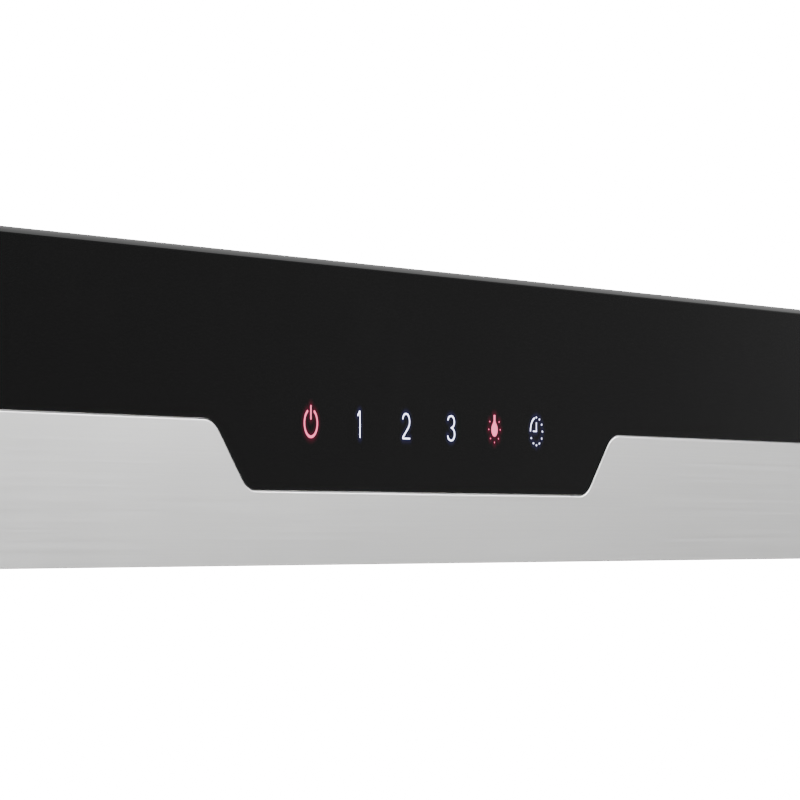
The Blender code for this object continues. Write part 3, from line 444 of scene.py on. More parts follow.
motor_enamel, tree, sockets, where = finish("motor_enamel", metallic=0.0)
skin = use(tree, "moulded_texture", {"Vector": where["Object"], "Scale": 420.0})
dirt = use(tree, "settled_dust", {"Vector": where["Object"], "Normal": where["Normal"]})["Mask"]
toned = tree.blend(skin["Mottle"], (0.045, 0.050, 0.058, 1.0), (0.070, 0.075, 0.084, 1.0))
tree.put(sockets["Base Color"], tree.blend(dirt, toned, DUST_ON_ENAMEL))
tree.put(sockets["Roughness"], tree.ramp(skin["Mottle"], 0.3, 0.7, 0.30, 0.42))
relief(tree, sockets, skin["Height"], 0.00004)

# %% Moulded plastic
def plastic(name, dark, light, roughness, depth, transmission=0.0):
    material, tree, sockets, where = finish(name, Transmission_Weight=transmission)
    skin = use(tree, "moulded_texture", {"Vector": where["Object"], "Scale": 1500.0})
    marks = use(tree, "handling_marks", {"Vector": where["Object"], "Scale": 14.0})["Mask"]
    tree.put(sockets["Base Color"], tree.blend(skin["Mottle"], dark, light))
    tree.put(sockets["Roughness"], tree.math("ADD", tree.math("MULTIPLY", marks, 0.10), roughness))
    relief(tree, sockets, skin["Height"], depth)
    return material


dark_plastic = plastic("dark_plastic", (0.018, 0.018, 0.020, 1.0), (0.030, 0.030, 0.032, 1.0), 0.42, 0.00003)
white_plastic = plastic("white_plastic", (0.66, 0.65, 0.61, 1.0), (0.74, 0.73, 0.70, 1.0), 0.38, 0.00002)
clear_guide = plastic("clear_guide", (0.80, 0.81, 0.82, 1.0), (0.86, 0.87, 0.88, 1.0), 0.16, 0.00001, 0.7)
cable_jacket = plastic("cable_jacket", (0.030, 0.030, 0.031, 1.0), (0.045, 0.045, 0.046, 1.0), 0.52, 0.00003)

# %% [markdown]
# A circuit board is green lacquer over copper tracks. The joints of a brick pattern give straight
# tracks that turn at right angles, a touch lighter and higher than the lacquer between.

# %% Circuit board
circuit_board, tree, sockets, where = finish("circuit_board", Coat_Weight=0.4)
weave = tree.add("ShaderNodeTexBrick", {
    "Vector": where["Object"], "Scale": 60.0, "Mortar Size": 0.03, "Brick Width": 0.9, "Row Height": 0.16,
})
cloud = tree.noise(where["Object"], 90.0, 3.0)
track = weave.outputs["Fac"]
toned = tree.blend(cloud[0], (0.010, 0.075, 0.030, 1.0), (0.018, 0.110, 0.045, 1.0))
tree.put(sockets["Base Color"], tree.blend(track, toned, (0.035, 0.180, 0.080, 1.0)))
tree.put(sockets["Roughness"], tree.ramp(cloud[0], 0.3, 0.7, 0.28, 0.40))
relief(tree, sockets, track, 0.00003)

# %% [markdown]
# The lamp lenses are ribbed, frosted plastic over a ring of emitters. They glow softly, brighter over
# each emitter. The pattern is a ring, so it is read round the lens's own centre.

# %% Lamp lens
LAMP_NAMES = [name for name in frame["nodes"] if name.startswith("lamp_lens")]
EMITTERS = 9
EMITTER_RING = 0.0150
EMITTER_REACH = 0.0055
RIBS_PER_METRE = 5200.0
GLOW_EDGE, GLOW_WHOLE = 0.0285, 0.018
LAMP_GLOW = 1.6


def lamp_finish(name, centre):
    material, tree, sockets, where = finish("glow_" + name, roughness=0.22)
    back = tuple(-value for value in centre)
    moved = tree.add("ShaderNodeMapping", {"Vector": where["Object"], "Location": back})
    flat = tree.add("ShaderNodeVectorMath", {0: moved.outputs[0], 1: (1.0, 1.0, 0.0)}, operation="MULTIPLY")
    radius = tree.add("ShaderNodeVectorMath", {0: flat.outputs[0]}, operation="LENGTH").outputs["Value"]
    parts = tree.add("ShaderNodeSeparateXYZ", {0: moved.outputs[0]}).outputs
    angle = tree.math("ARCTAN2", parts[1], parts[0])
    beat = tree.math("COSINE", tree.math("MULTIPLY", angle, float(EMITTERS)))
    ring = tree.math("ABSOLUTE", tree.math("SUBTRACT", radius, EMITTER_RING))
    spots = tree.math("MULTIPLY", tree.ramp(beat, 0.2, 1.0), tree.ramp(ring, EMITTER_REACH, 0.0))
    ribs = tree.math("SINE", tree.math("MULTIPLY", radius, RIBS_PER_METRE))
    warm = tree.blend(spots, (0.62, 0.58, 0.50, 1.0), (1.0, 0.96, 0.88, 1.0))
    edge = tree.ramp(radius, GLOW_EDGE, GLOW_WHOLE, 0.25, 1.0)
    tree.put(sockets["Base Color"], tree.blend(spots, (0.78, 0.78, 0.76, 1.0), (0.86, 0.86, 0.84, 1.0)))
    tree.put(sockets["Emission Color"], tree.blend(edge, (0.10, 0.09, 0.08, 1.0), warm))
    sockets["Emission Strength"].default_value = LAMP_GLOW
    relief(tree, sockets, ribs, 0.00008)
    return material


print("finishes", len(bpy.data.materials))

# %% [markdown]
# ## Soft edges
# A working model has knife edges; sheet metal and glass never do. Each part is copied, its loose
# triangles merged, its flat faces joined and its sharp edges bevelled. The copy stands for the node.

# %% Softened copies
record = frame["record"]
BODY_OF = {node: body for body, nodes_on in record["behaviour"]["bodies"].items() for node in nodes_on}
SLOT_OF = {name: thing.material_slots[0].material.name.split(".")[0]
           for name, thing in frame["nodes"].items()}
MERGE = 1e-6
SHARP = math.radians(28)
FLAT = math.radians(0.5)


def piece_from(name, bm, material, body, smooth=False):
    """Makes the shared ending of every piece: its mesh, finish, body and slot."""
    if smooth:
        for face in bm.faces:
            face.smooth = True
        for edge in bm.edges:
            edge.smooth = len(edge.link_faces) == 2 and edge.calc_face_angle(0.0) < SHARP
    mesh = bpy.data.meshes.new(name)
    bm.to_mesh(mesh)
    bm.free()
    made = bpy.data.objects.new(name, mesh)
    bpy.context.collection.objects.link(made)
    mesh.materials.append(material)
    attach(made, body)
    return made


def merged_copy(node, whole_faces=True):
    """whole_faces joins flat triangles into one face each; a ring-shaped end is safer as squares."""
    bm = bmesh.new()
    bm.from_mesh(frame["nodes"][node].data)
    bmesh.ops.remove_doubles(bm, verts=bm.verts, dist=MERGE)
    if whole_faces:
        bmesh.ops.dissolve_limit(bm, angle_limit=FLAT, verts=bm.verts, edges=bm.edges)
    else:
        bmesh.ops.join_triangles(bm, faces=bm.faces[:], angle_face_threshold=FLAT,
                                 angle_shape_threshold=math.pi)
    return bm


def sharp_edges(bm, pick=None):
    found = [edge for edge in bm.edges if len(edge.link_faces) == 2 and edge.calc_face_angle(0.0) > SHARP
             and edge.calc_face_angle_signed(0.0) > 0]
    return [edge for edge in found if pick is None or pick(edge)]


def round_edges(bm, edges, width, segments):
    bmesh.ops.bevel(bm, geom=edges, offset=width, offset_type="OFFSET", affect="EDGES", segments=segments,
                    profile=0.5, material=-1, clamp_overlap=True)


def soften(node, width, segments, material, smooth=False, first=None, whole_faces=True):
    """Stands a softened copy in for a node. first is (pick, width, segments) for edges done before."""
    bm = merged_copy(node, whole_faces)
    if first:
        pick, wide, steps = first
        round_edges(bm, sharp_edges(bm, pick), wide, steps)
    if width:
        round_edges(bm, sharp_edges(bm), width, segments)
    made = piece_from(node + "_soft", bm, material, BODY_OF[node], smooth)
    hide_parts(node)
    return made

# %% [markdown]
# The glass band is ground to a narrow arris all round. It turns the front's edge towards the bright
# ceiling, and so draws the thin light line along the top. The pane is one flat body with a tab.

# %% Glass
TOP_ARRIS = 0.0019
LOW_ARRIS = 0.00012
ARRIS_STEPS = 9


def top_edge(edge):
    """The long upper edge of a pane."""
    start, end = (vert.co for vert in edge.verts)
    return min(start.z, end.z) > CANOPY_TOP - 1e-5 and abs(start.x - end.x) > 0.5


for node in ("front_glass", "rear_glass"):
    made = soften(node, LOW_ARRIS, 1, glass_black, first=(top_edge, TOP_ARRIS, ARRIS_STEPS))
    print(node, "faces", len(made.data.polygons))

# %% Steel canopy
HEM = 0.00012
HEM_STEPS = 2
CUT_EDGE = 0.00025
FOLD = 0.0016
FOLD_STEPS = 4
ON_FACE = 1e-4
shell_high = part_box("canopy_shell")[1]


def outer_fold(edge):
    """The canopy's four upright corners and its top rim, which are folded rather than cut."""
    middle = (edge.verts[0].co + edge.verts[1].co) / 2
    side = abs(abs(middle.x) - shell_high.x) < ON_FACE
    face = abs(abs(middle.y) - shell_high.y) < ON_FACE
    top = abs(middle.z - shell_high.z) < ON_FACE
    return (side and face) or (top and (side or face))


for node in ("front_fascia", "rear_fascia"):
    made = soften(node, HEM, HEM_STEPS, canopy_steel)
    if node == "front_fascia":
        panel_receivers.objects.link(made)
soften("canopy_shell", CUT_EDGE, 2, canopy_steel, first=(outer_fold, FOLD, FOLD_STEPS))
soften("bottom_pan", CUT_EDGE, 2, canopy_steel)

# %% [markdown]
# The chimney is two square tubes, one sliding inside the other. A folded tube has small round corners,
# and its two vent panels are punched, so every slot keeps a fine burr-free edge.

# %% Chimney
CORNER_FOLD = 0.0022
CORNER_STEPS = 5
CORNER_LENGTH = 0.3
SLOT_EDGE = 0.0002


def upright_corner(edge):
    """One of the tube's four long edges."""
    start, end = (vert.co for vert in edge.verts)
    return abs(start.z - end.z) > CORNER_LENGTH


for node in ("upper_chimney", "lower_chimney"):
    soften(node, SLOT_EDGE, 1, chimney_steel, first=(upright_corner, CORNER_FOLD, CORNER_STEPS),
           whole_faces=False)

# %% Frame, boxes and small parts
FINISH_OF = {
    "satin_steel": canopy_steel, "filter_steel": filter_steel, "zinc_steel": zinc_steel,
    "black_glass": glass_black, "dark_plastic": dark_plastic, "white_plastic": white_plastic,
    "clear_guide": clear_guide, "circuit_board": circuit_board, "motor_enamel": motor_enamel,
    "damper_plate": damper_plate, "cable_jacket": cable_jacket,
}
EDGE_WIDTHS = {
    0.0005: ["ceiling_plate"] + [name for name in frame["nodes"] if "_rail_" in name],
    0.0003: ["blower_box", "power_box", "power_box_lid", "control_housing", "light_guide",
             "motor_bracket_front", "motor_bracket_rear", "filter_frame_left", "filter_frame_right"],
    0.0006: ["filter_latch_left", "filter_latch_right"],
    0.0002: ["touch_board", "power_board"],
}
for width, names in EDGE_WIDTHS.items():
    for node in names:
        soften(node, width, 2, FINISH_OF[SLOT_OF[node]])

# Round parts keep their outline and only get smooth sides.
ROUND = ("duct_collar", "lamp_housing", "motor_body", "capacitor", "cable_gland", "motor_shaft",
         "damper", "scroll", "rail_bolt", "control_cable")
for node in [name for name in frame["nodes"] if name.startswith(ROUND)]:
    if node.startswith("lamp_housing"):
        material = canopy_steel
    elif node.startswith("rail_bolt"):
        material = bolt_zinc
    else:
        material = FINISH_OF[SLOT_OF[node]]
    soften(node, 0, 0, material, smooth=True)

# %% [markdown]
# ## A ribbon pen
# Lit symbols and folded slats are strips that run straight, bend and turn. One small pen draws them:
# it holds an edge, extrudes it for a straight and spins it for a bend. Held across its path it writes
# a stroke; held along the hood's depth it folds sheet.

# %% Ribbon pen
INTO_HOOD = Vector((0, 1, 0))


class Ribbon:
    """Drags an edge about in the plane that faces the front. Angles are seen from the front."""

    def __init__(self, bm, start, heading, across):
        self.bm = bm
        self.turned = math.radians(heading)
        half = self.side() * (across / 2) if isinstance(across, float) else across / 2
        ends = [bmesh.ops.create_vert(bm, co=Vector(start) + sign * half)["vert"][0] for sign in (-1, 1)]
        self.edge = bm.edges.new(ends)
        self.width = half.length * 2

    def ahead(self):
        return Vector((math.cos(self.turned), 0, math.sin(self.turned)))

    def side(self):
        return Vector((-math.sin(self.turned), 0, math.cos(self.turned)))

    def middle(self):
        return (self.edge.verts[0].co + self.edge.verts[1].co) / 2

    def line(self, length, widen=1.0):
        """Draws straight on. widen scales the far end."""
        grown = bmesh.ops.extrude_edge_only(self.bm, edges=[self.edge])["geom"]
        verts = [item for item in grown if isinstance(item, bmesh.types.BMVert)]
        bmesh.ops.translate(self.bm, verts=verts, vec=self.ahead() * length)
        self.edge = next(item for item in grown if isinstance(item, bmesh.types.BMEdge)
                         and set(item.verts) == set(verts))
        if widen != 1.0:
            centre = Matrix.Translation(-self.middle())
            bmesh.ops.scale(self.bm, verts=verts, vec=(widen, widen, widen), space=centre)
        return self

    def arc(self, radius, degrees, steps=None):
        """Bends to the left for a positive angle, round a centre that lies radius to that side."""
        sign = 1 if degrees > 0 else -1
        centre = self.middle() + self.side() * (radius * sign)
        count = steps or max(2, math.ceil(abs(degrees) / 12))
        spun = bmesh.ops.spin(self.bm, geom=[self.edge, *self.edge.verts], cent=centre, axis=INTO_HOOD,
                              angle=-math.radians(degrees), steps=count, use_merge=False)
        self.edge = next(item for item in spun["geom_last"] if isinstance(item, bmesh.types.BMEdge))
        self.turned += math.radians(degrees)
        return self

    def turn(self, degrees):
        """Turns on the spot, about the inner end of the edge."""
        return self.arc(self.width / 2, degrees, 6)

    def tip(self):
        """Rounds the end off."""
        half, reached, wide = self.width / 2, 0.0, 1.0
        for angle in (30, 55, 78):
            there, span = math.sin(math.radians(angle)), math.cos(math.radians(angle))
            self.line((there - reached) * half, span / wide)
            reached, wide = there, span
        return self


print("pen ready")

# %% [markdown]
# ## Touch keys
# Six symbols shine through windows in the black print: power, three speeds, lamp and timer. Each one
# is written with the pen a hair in front of the glass. Its numbers are millimetres across from its own
# centre and up from the key row, then a heading in degrees and the width of the stroke.

# %% Symbols
KEY_PITCH = 27.3 * MM
KEY_ROW = CANOPY_TOP - 42.8 * MM
KEY_PROUD = 0.05 * MM
KEY_THICKNESS = 0.04 * MM
STROKE = 0.32
HAND_STROKE = 0.24
POWER_STROKE = 0.70
BAR_STROKE = 0.66
POWER_RADIUS = 3.57
POWER_GAP = 58
POWER_DROP = -0.30
CLOCK_RADIUS = 3.95
CLOCK_DOTS = 9
CLOCK_DOT = 0.44
RAY_DOT = 0.42
RAYS = ((2.96, 2.2), (3.66, 0.0), (2.55, -2.5), (-2.96, 2.2), (-3.66, 0.0), (-2.55, -2.5), (0, -3.6))


def pen_at(bm, x, up, heading, stroke, centre):
    place = Vector((centre + x * MM, FACE_Y - KEY_PROUD, KEY_ROW + up * MM))
    return Ribbon(bm, place, heading, stroke * MM)


def ring_pen(bm, radius, angle, stroke, centre, up=0.0, clockwise=True):
    """A pen on a circle, headed round it."""
    around = math.radians(angle)
    heading = angle - 90 if clockwise else angle + 90
    return pen_at(bm, radius * math.cos(around), up + radius * math.sin(around), heading, stroke, centre)


def dot(bm, x, up, size, centre):
    made = bmesh.ops.create_circle(bm, cap_ends=True, segments=12, radius=size / 2 * MM)["verts"]
    bmesh.ops.rotate(bm, verts=made, matrix=Matrix.Rotation(math.radians(90), 3, "X"))
    bmesh.ops.translate(bm, verts=made, vec=(centre + x * MM, FACE_Y - KEY_PROUD, KEY_ROW + up * MM))


def power_key(bm, centre):
    pen = ring_pen(bm, POWER_RADIUS, POWER_GAP, POWER_STROKE, centre, POWER_DROP)
    pen.arc(POWER_RADIUS * MM, -296, 40).tip()
    ring_pen(bm, POWER_RADIUS, POWER_GAP, POWER_STROKE, centre, POWER_DROP, clockwise=False).tip()
    pen_at(bm, 0, 2.6, 90, BAR_STROKE, centre).line(1.5 * MM).tip()
    pen_at(bm, 0, 2.6, 270, BAR_STROKE, centre).line(1.7 * MM).tip()


def speed_1(bm, centre):
    pen_at(bm, -0.95, 2.15, 48, STROKE, centre).line(1.55 * MM).turn(-138).line(6.85 * MM)


def speed_2(bm, centre):
    pen = ring_pen(bm, 2.12, 162, STROKE, centre, 1.15)
    pen.arc(2.12 * MM, -213, 26).line(4.15 * MM).turn(141).line(4.05 * MM)


def speed_3(bm, centre):
    ring_pen(bm, 1.63, 165, STROKE, centre, 1.62).arc(1.63 * MM, -255, 24)
    ring_pen(bm, 1.75, 90, STROKE, centre, -1.76).arc(1.75 * MM, -255, 24)


def lamp_key(bm, centre):
    """A bulb drawn as one stroke: a straight neck, then steps that follow a circle's width."""
    radius, neck = 1.95, 0.52
    pen = pen_at(bm, 0, 4.1, 270, 2 * neck, centre).line(1.7 * MM)
    height, half = 2.4, neck
    for angle in range(35, 176, 10):
        across = radius * math.sin(math.radians(angle))
        up = radius * math.cos(math.radians(angle))
        pen.line((height - up) * MM, across / half)
        height, half = up, across
    for x, up in RAYS:
        dot(bm, x, up, RAY_DOT, centre)


def timer_key(bm, centre):
    for hour in range(CLOCK_DOTS):
        angle = math.radians(90 - 30 * hour)
        dot(bm, CLOCK_RADIUS * math.cos(angle), CLOCK_RADIUS * math.sin(angle), CLOCK_DOT, centre)
    ring_pen(bm, CLOCK_RADIUS, 180, STROKE, centre).arc(CLOCK_RADIUS * MM, -70, 10).tip()
    pen_at(bm, 0, 2.5, 270, HAND_STROKE, centre).line(2.4 * MM)
    pen_at(bm, 0.12, 0, 180, HAND_STROKE, centre).line(2.2 * MM)


# %% [markdown]
# A lit symbol is bright at its core, and a painted glow lies on the glass around it: emission that stands in
# for the key's light spreading into the glass. The core is a glowing piece. The painted glow is a thin,
# finely divided patch of the same black glass, whose vertices hold how close they are to the symbol.

# %% Glowing keys
# The core colours light the symbols themselves. The second red and blue, their two small strengths and the
# reach set a painted glow: emission on the glass round each symbol, standing in for the key's light spreading
# into it.
RED_CORE = (1.0, 0.135, 0.29, 1.0)
RED_PAINTED_GLOW = (1.0, 0.0, 0.17, 1.0)
BLUE_CORE = (0.74, 0.75, 1.0, 1.0)
BLUE_PAINTED_GLOW = (0.22, 0.20, 1.0, 1.0)
RED_GLOW = 2.6
BLUE_GLOW = 7.5
RED_PAINTED_GLOW_STRENGTH = 0.10
BLUE_PAINTED_GLOW_STRENGTH = 0.07
PATCH_HALF = 6.2 * MM
PATCH_THICKNESS = 0.008 * MM
PATCH_CELLS = 62
PAINTED_GLOW_REACH = 2.0 * MM
SPEED_3_WIDER = 1.25


def glowing(name, colour, glow):
    material, tree, sockets, where = finish(name, roughness=0.12)
    uneven = tree.noise(where["Object"], 900.0, 2.0)
    level = tree.ramp(uneven[0], 0.2, 0.8, 0.90, 1.0)
    tree.put(sockets["Emission Color"], tree.blend(level, BLACK, colour))
    tree.put(sockets["Base Color"], tree.blend(level, (0.02, 0.02, 0.02, 1.0), (0.04, 0.04, 0.04, 1.0)))
    sockets["Emission Strength"].default_value = glow
    return material


# Black glass with a painted glow: emission that fades with distance from the symbol stands in for the key's
# light spilling round it.
def glass_with_painted_glow(name, colour, glow):
    material, tree, sockets = black_glass(name)
    near = tree.add("ShaderNodeAttribute", attribute_name="near").outputs["Fac"]
    tree.put(sockets["Emission Color"], tree.blend(near, BLACK, colour))
    sockets["Emission Strength"].default_value = glow
    return material


red = (glowing("key_red", RED_CORE, RED_GLOW),
       glass_with_painted_glow("glass_painted_glow_red", RED_PAINTED_GLOW, RED_PAINTED_GLOW_STRENGTH))
blue = (glowing("key_white", BLUE_CORE, BLUE_GLOW),
        glass_with_painted_glow("glass_painted_glow_blue", BLUE_PAINTED_GLOW, BLUE_PAINTED_GLOW_STRENGTH))
KEYS = (("power", power_key, red), ("speed_1", speed_1, blue), ("speed_2", speed_2, blue),
        ("speed_3", speed_3, blue), ("lamp", lamp_key, red), ("timer", timer_key, blue))

def moved_verts(bm, grown, by):
    """Shifts the new vertices of an extrusion."""
    verts = [item for item in grown if isinstance(item, bmesh.types.BMVert)]
    bmesh.ops.translate(bm, verts=verts, vec=by)


for number, (name, draw, (core, painted_glow)) in enumerate(KEYS):
    centre = (number - (len(KEYS) - 1) / 2) * KEY_PITCH
    bm = bmesh.new()
    draw(bm, centre)
    if name == "speed_3":
        about = Matrix.Translation((-centre, 0, 0))
        bmesh.ops.scale(bm, verts=bm.verts, vec=(SPEED_3_WIDER, 1, 1), space=about)
    bmesh.ops.remove_doubles(bm, verts=bm.verts, dist=MERGE)
    bmesh.ops.recalc_face_normals(bm, faces=bm.faces)
    tree_of_faces = BVHTree.FromBMesh(bm)
    solid = bmesh.ops.extrude_face_region(bm, geom=bm.faces[:])["geom"]
    moved_verts(bm, solid, (0, KEY_THICKNESS, 0))
    bmesh.ops.recalc_face_normals(bm, faces=bm.faces)
    piece_from("key_" + name, bm, core, "canopy")

    # The patch carries the painted glow round the symbol; each vertex holds how near it is to the symbol's
    # strokes.
    patch = bmesh.new()
    bmesh.ops.create_grid(patch, x_segments=PATCH_CELLS, y_segments=PATCH_CELLS, size=PATCH_HALF)
    bmesh.ops.rotate(patch, verts=patch.verts, matrix=Matrix.Rotation(math.radians(90), 3, "X"))
    bmesh.ops.translate(patch, verts=patch.verts, vec=(centre, FACE_Y - KEY_PROUD / 5, KEY_ROW))
    nearness = patch.verts.layers.float.new("near")
    for vert in patch.verts:
        distance = tree_of_faces.find_nearest(vert.co)[3]
        vert[nearness] = max(0.0, 1 - distance / PAINTED_GLOW_REACH) ** 2
    bmesh.ops.extrude_edge_only(patch, edges=[edge for edge in patch.edges if edge.is_boundary])
    rim = {vert for edge in patch.edges if edge.is_boundary for vert in edge.verts}
    bmesh.ops.translate(patch, verts=list(rim), vec=(0, PATCH_THICKNESS, 0))
    bmesh.ops.edgeloop_fill(patch, edges=[edge for edge in patch.edges if edge.is_boundary])
    bmesh.ops.recalc_face_normals(patch, faces=patch.faces)
    piece_from("key_tint_" + name, patch, painted_glow, "canopy")
    print("key", name, "at", round(centre / MM, 2), "mm")

# %% [markdown]
# ## Baffle filters
# Each filter is a steel frame round two staggered rows of folded slats. Smoke has to turn between them,
# and the grease stays in the channels. A slat is one strip: a lip, a wall, the floor, a wall, a lip.

# %% Folded slats
SLAT_SHEET = 0.8 * MM
SLAT_WIDTH = 14.5 * MM
SLAT_PITCH = 21.0 * MM
SLAT_WALL = 3.2 * MM
SLAT_LIP = 1.6 * MM
SLAT_INSET = 1.2 * MM
SLAT_END = 2 * MM
SLAT_SIDE = 0.5 * MM
BEND = 1.0 * MM
CROSS_BAR = 4.0 * MM
CROSS_BAR_HALF = 0.4 * MM
SOFT_BAR = 0.2 * MM


def slat(bm, x, base, up, low_y, high_y):
    """A channel open upwards (up = 1) or downwards (up = -1)."""
    across = Vector((0, high_y - low_y, 0))
    half = SLAT_WIDTH / 2 - SLAT_SHEET / 2
    start = Vector((x - half + SLAT_LIP + BEND, (low_y + high_y) / 2, base + up * (SLAT_WALL + 2 * BEND)))
    pen = Ribbon(bm, start, 180, across)
    pen.line(SLAT_LIP)
    for length in (SLAT_WALL, 2 * (half - BEND), SLAT_WALL, SLAT_LIP):
        pen.arc(BEND, 90 * up, 3)
        pen.line(length)


def bar(bm, low, high):
    made = bmesh.ops.create_cube(bm, size=1.0)["verts"]
    low, high = Vector(low), Vector(high)
    bmesh.ops.scale(bm, verts=made, vec=high - low)
    bmesh.ops.translate(bm, verts=made, vec=(low + high) / 2)


for side in ("left", "right"):
    low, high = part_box("filter_baffles_" + side)
    bm = bmesh.new()
    first, last = low.x + SLAT_WIDTH / 2 + SLAT_SIDE, high.x - SLAT_WIDTH / 2 - SLAT_SIDE
    count = round((last - first) / SLAT_PITCH) + 1
    pitch = (last - first) / (count - 1)
    for number in range(count):
        slat(bm, first + number * pitch, low.z + SLAT_INSET, 1, low.y + SLAT_END, high.y - SLAT_END)
    for number in range(count - 1):
        slat(bm, first + (number + 0.5) * pitch, high.z - SLAT_INSET, -1, low.y + SLAT_END, high.y - SLAT_END)
    bmesh.ops.recalc_face_normals(bm, faces=bm.faces)
    bmesh.ops.solidify(bm, geom=bm.faces[:], thickness=SLAT_SHEET)
    bmesh.ops.recalc_face_normals(bm, faces=bm.faces)
    made = piece_from("filter_slats_" + side, bm, filter_steel, "filter_" + side,
                      smooth=True)
    print(made.name, count, "lower slats, faces", len(made.data.polygons))

    bm = bmesh.new()
    level = (low.z + high.z) / 2
    for y in (low.y, -CROSS_BAR / 2, high.y - CROSS_BAR):
        bar(bm, (low.x, y, level - CROSS_BAR_HALF), (high.x, y + CROSS_BAR, level + CROSS_BAR_HALF))
    round_edges(bm, bm.edges[:], SOFT_BAR, 2)
    bars = piece_from("filter_cross_bars_" + side, bm, filter_steel, "filter_" + side)
    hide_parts("filter_baffles_" + side)

# %% [markdown]
# ## Turned parts
# Lenses, screw heads, rivets and beads are all round. Each starts as a profile, a chain of extruded
# vertices, and a full spin closes it. The profile runs from the axis outwards and back to the axis.

# %% Turned parts
TURN_TO = {
    "Z": Matrix.Identity(3),
    "X": Matrix.Rotation(math.radians(90), 3, "Y"),
    "Y": Matrix.Rotation(math.radians(-90), 3, "X"),
}


def stand(bm, place, axis, flip):
    """Turns a part made along Z to an axis and sets it down at place. flip -1 points it backwards."""
    turn = TURN_TO[axis]
    if flip < 0:
        turn = turn @ Matrix.Rotation(math.pi, 3, "X")
    bmesh.ops.transform(bm, verts=bm.verts, matrix=Matrix.Translation(place) @ turn.to_4x4())


def join_to(bm, part):
    """Adds a finished part to a larger mesh."""
    mesh = bpy.data.meshes.new("joined")
    part.to_mesh(mesh)
    part.free()
    bm.from_mesh(mesh)


def scaled(profile, size=1.0):
    return [(radius * MM * size, height * MM * size) for radius, height in profile]


def turned(profile, steps, place, axis="Z", flip=1):
    """Spins a profile of (radius, height) points about an axis through place."""
    bm = bmesh.new()
    start = bmesh.ops.create_vert(bm, co=(profile[0][0], 0, profile[0][1]))["vert"][0]
    before = start
    for radius, height in profile[1:]:
        after = bmesh.ops.create_vert(bm, co=(radius, 0, height))["vert"][0]
        bm.edges.new((before, after))
        before = after
    if profile[0][0] > 0:
        bm.edges.new((before, start))
    bmesh.ops.spin(bm, geom=bm.verts[:] + bm.edges[:], cent=(0, 0, 0), axis=(0, 0, 1),
                   angle=math.tau, steps=steps, use_merge=True)
    bmesh.ops.remove_doubles(bm, verts=bm.verts, dist=MERGE)
    bmesh.ops.recalc_face_normals(bm, faces=bm.faces)
    stand(bm, place, axis, flip)
    return bm

# %% [markdown]
# The lamps sit flush in the pan. The lens bulges a little, and a polished ring covers the cut edge of
# the hole. The lens has a rolled rim that the ring holds.

# %% Lamps
LENS_BULGE = 0.4 * MM
LENS_LIP = 0.6 * MM
LENS_STEPS = 48
BEZEL_RIM = 1.0 * MM
for name in LAMP_NAMES:
    low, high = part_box(name)
    radius, thick = (high.x - low.x) / 2, high.z - low.z
    centre = Vector(((low.x + high.x) / 2, (low.y + high.y) / 2, high.z))
    slopes = [math.radians(angle) for angle in range(0, 70, 8)]
    dome = [(radius * math.sin(slope), thick + LENS_BULGE * (math.cos(slope) - 1)) for slope in slopes]
    profile = dome + [(radius - LENS_LIP, thick), (radius, thick - LENS_LIP), (radius, 0), (0, 0)]
    bm = turned(profile, LENS_STEPS, centre, flip=-1)
    lens = piece_from(name + "_domed", bm, lamp_finish(name, centre), BODY_OF[name],
                      smooth=True)
    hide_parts(name)

    housing_low, housing_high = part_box(name.replace("lens", "housing"))
    outer = (housing_high.x - housing_low.x) / 2
    ring = [(radius + 0.2 * MM, 0.1 * MM), (outer + 0.2 * MM, 0.1 * MM), (outer + 0.2 * MM, 0.6 * MM),
            (outer - 0.4 * MM, 1.05 * MM), (outer - 1.6 * MM, 1.2 * MM), (radius + 1.0 * MM, 1.15 * MM),
            (radius + 0.2 * MM, 0.8 * MM)]
    place = Vector((centre.x, centre.y, housing_low.z + BEZEL_RIM))
    piece_from(name.replace("lens", "bezel"), turned(ring, LENS_STEPS, place, flip=-1), filter_steel,
               BODY_OF[name], smooth=True)
print("lamps", len(LAMP_NAMES))

# %% [markdown]
# Screws hold the pan and the two chimney tubes. A six-lobed socket keeps them from looking like plain
# pins: the top face is inset, every other pair of its vertices is drawn in, and the star is sunk.

# %% Screws
HEAD = ((0.0, 0.0), (3.7, 0.0), (4.0, 0.3), (3.9, 0.65), (3.3, 1.0), (2.5, 1.2), (0.0, 1.2))
HEAD_HEIGHT = 1.2
HEAD_STEPS = 24
SOCKET_RIM = 0.35
SOCKET_DEPTH = 0.8
LOBE_WAIST = 0.66


def screw(name, place, axis, flip, body, size=1.0):
    bm = turned(scaled(HEAD, size), HEAD_STEPS, (0, 0, 0))
    nearly_top = 0.99 * HEAD_HEIGHT * MM * size
    top = [face for face in bm.faces if min(vert.co.z for vert in face.verts) > nearly_top]
    joined = bmesh.ops.dissolve_faces(bm, faces=top)["region"]
    bmesh.ops.inset_region(bm, faces=joined, thickness=SOCKET_RIM * MM * size)
    around = sorted(joined[0].verts, key=lambda vert: math.atan2(vert.co.y, vert.co.x))
    for number, vert in enumerate(around):
        shrink = LOBE_WAIST if number % 4 in (0, 1) else 1.0
        vert.co.x *= shrink
        vert.co.y *= shrink
    sunk = bmesh.ops.extrude_face_region(bm, geom=joined)["geom"]
    moved_verts(bm, sunk, (0, 0, -SOCKET_DEPTH * MM * size))
    bmesh.ops.delete(bm, geom=joined, context="FACES_ONLY")
    stand(bm, place, axis, flip)
    bmesh.ops.recalc_face_normals(bm, faces=bm.faces)
    return piece_from(name, bm, bolt_zinc, body, smooth=True)


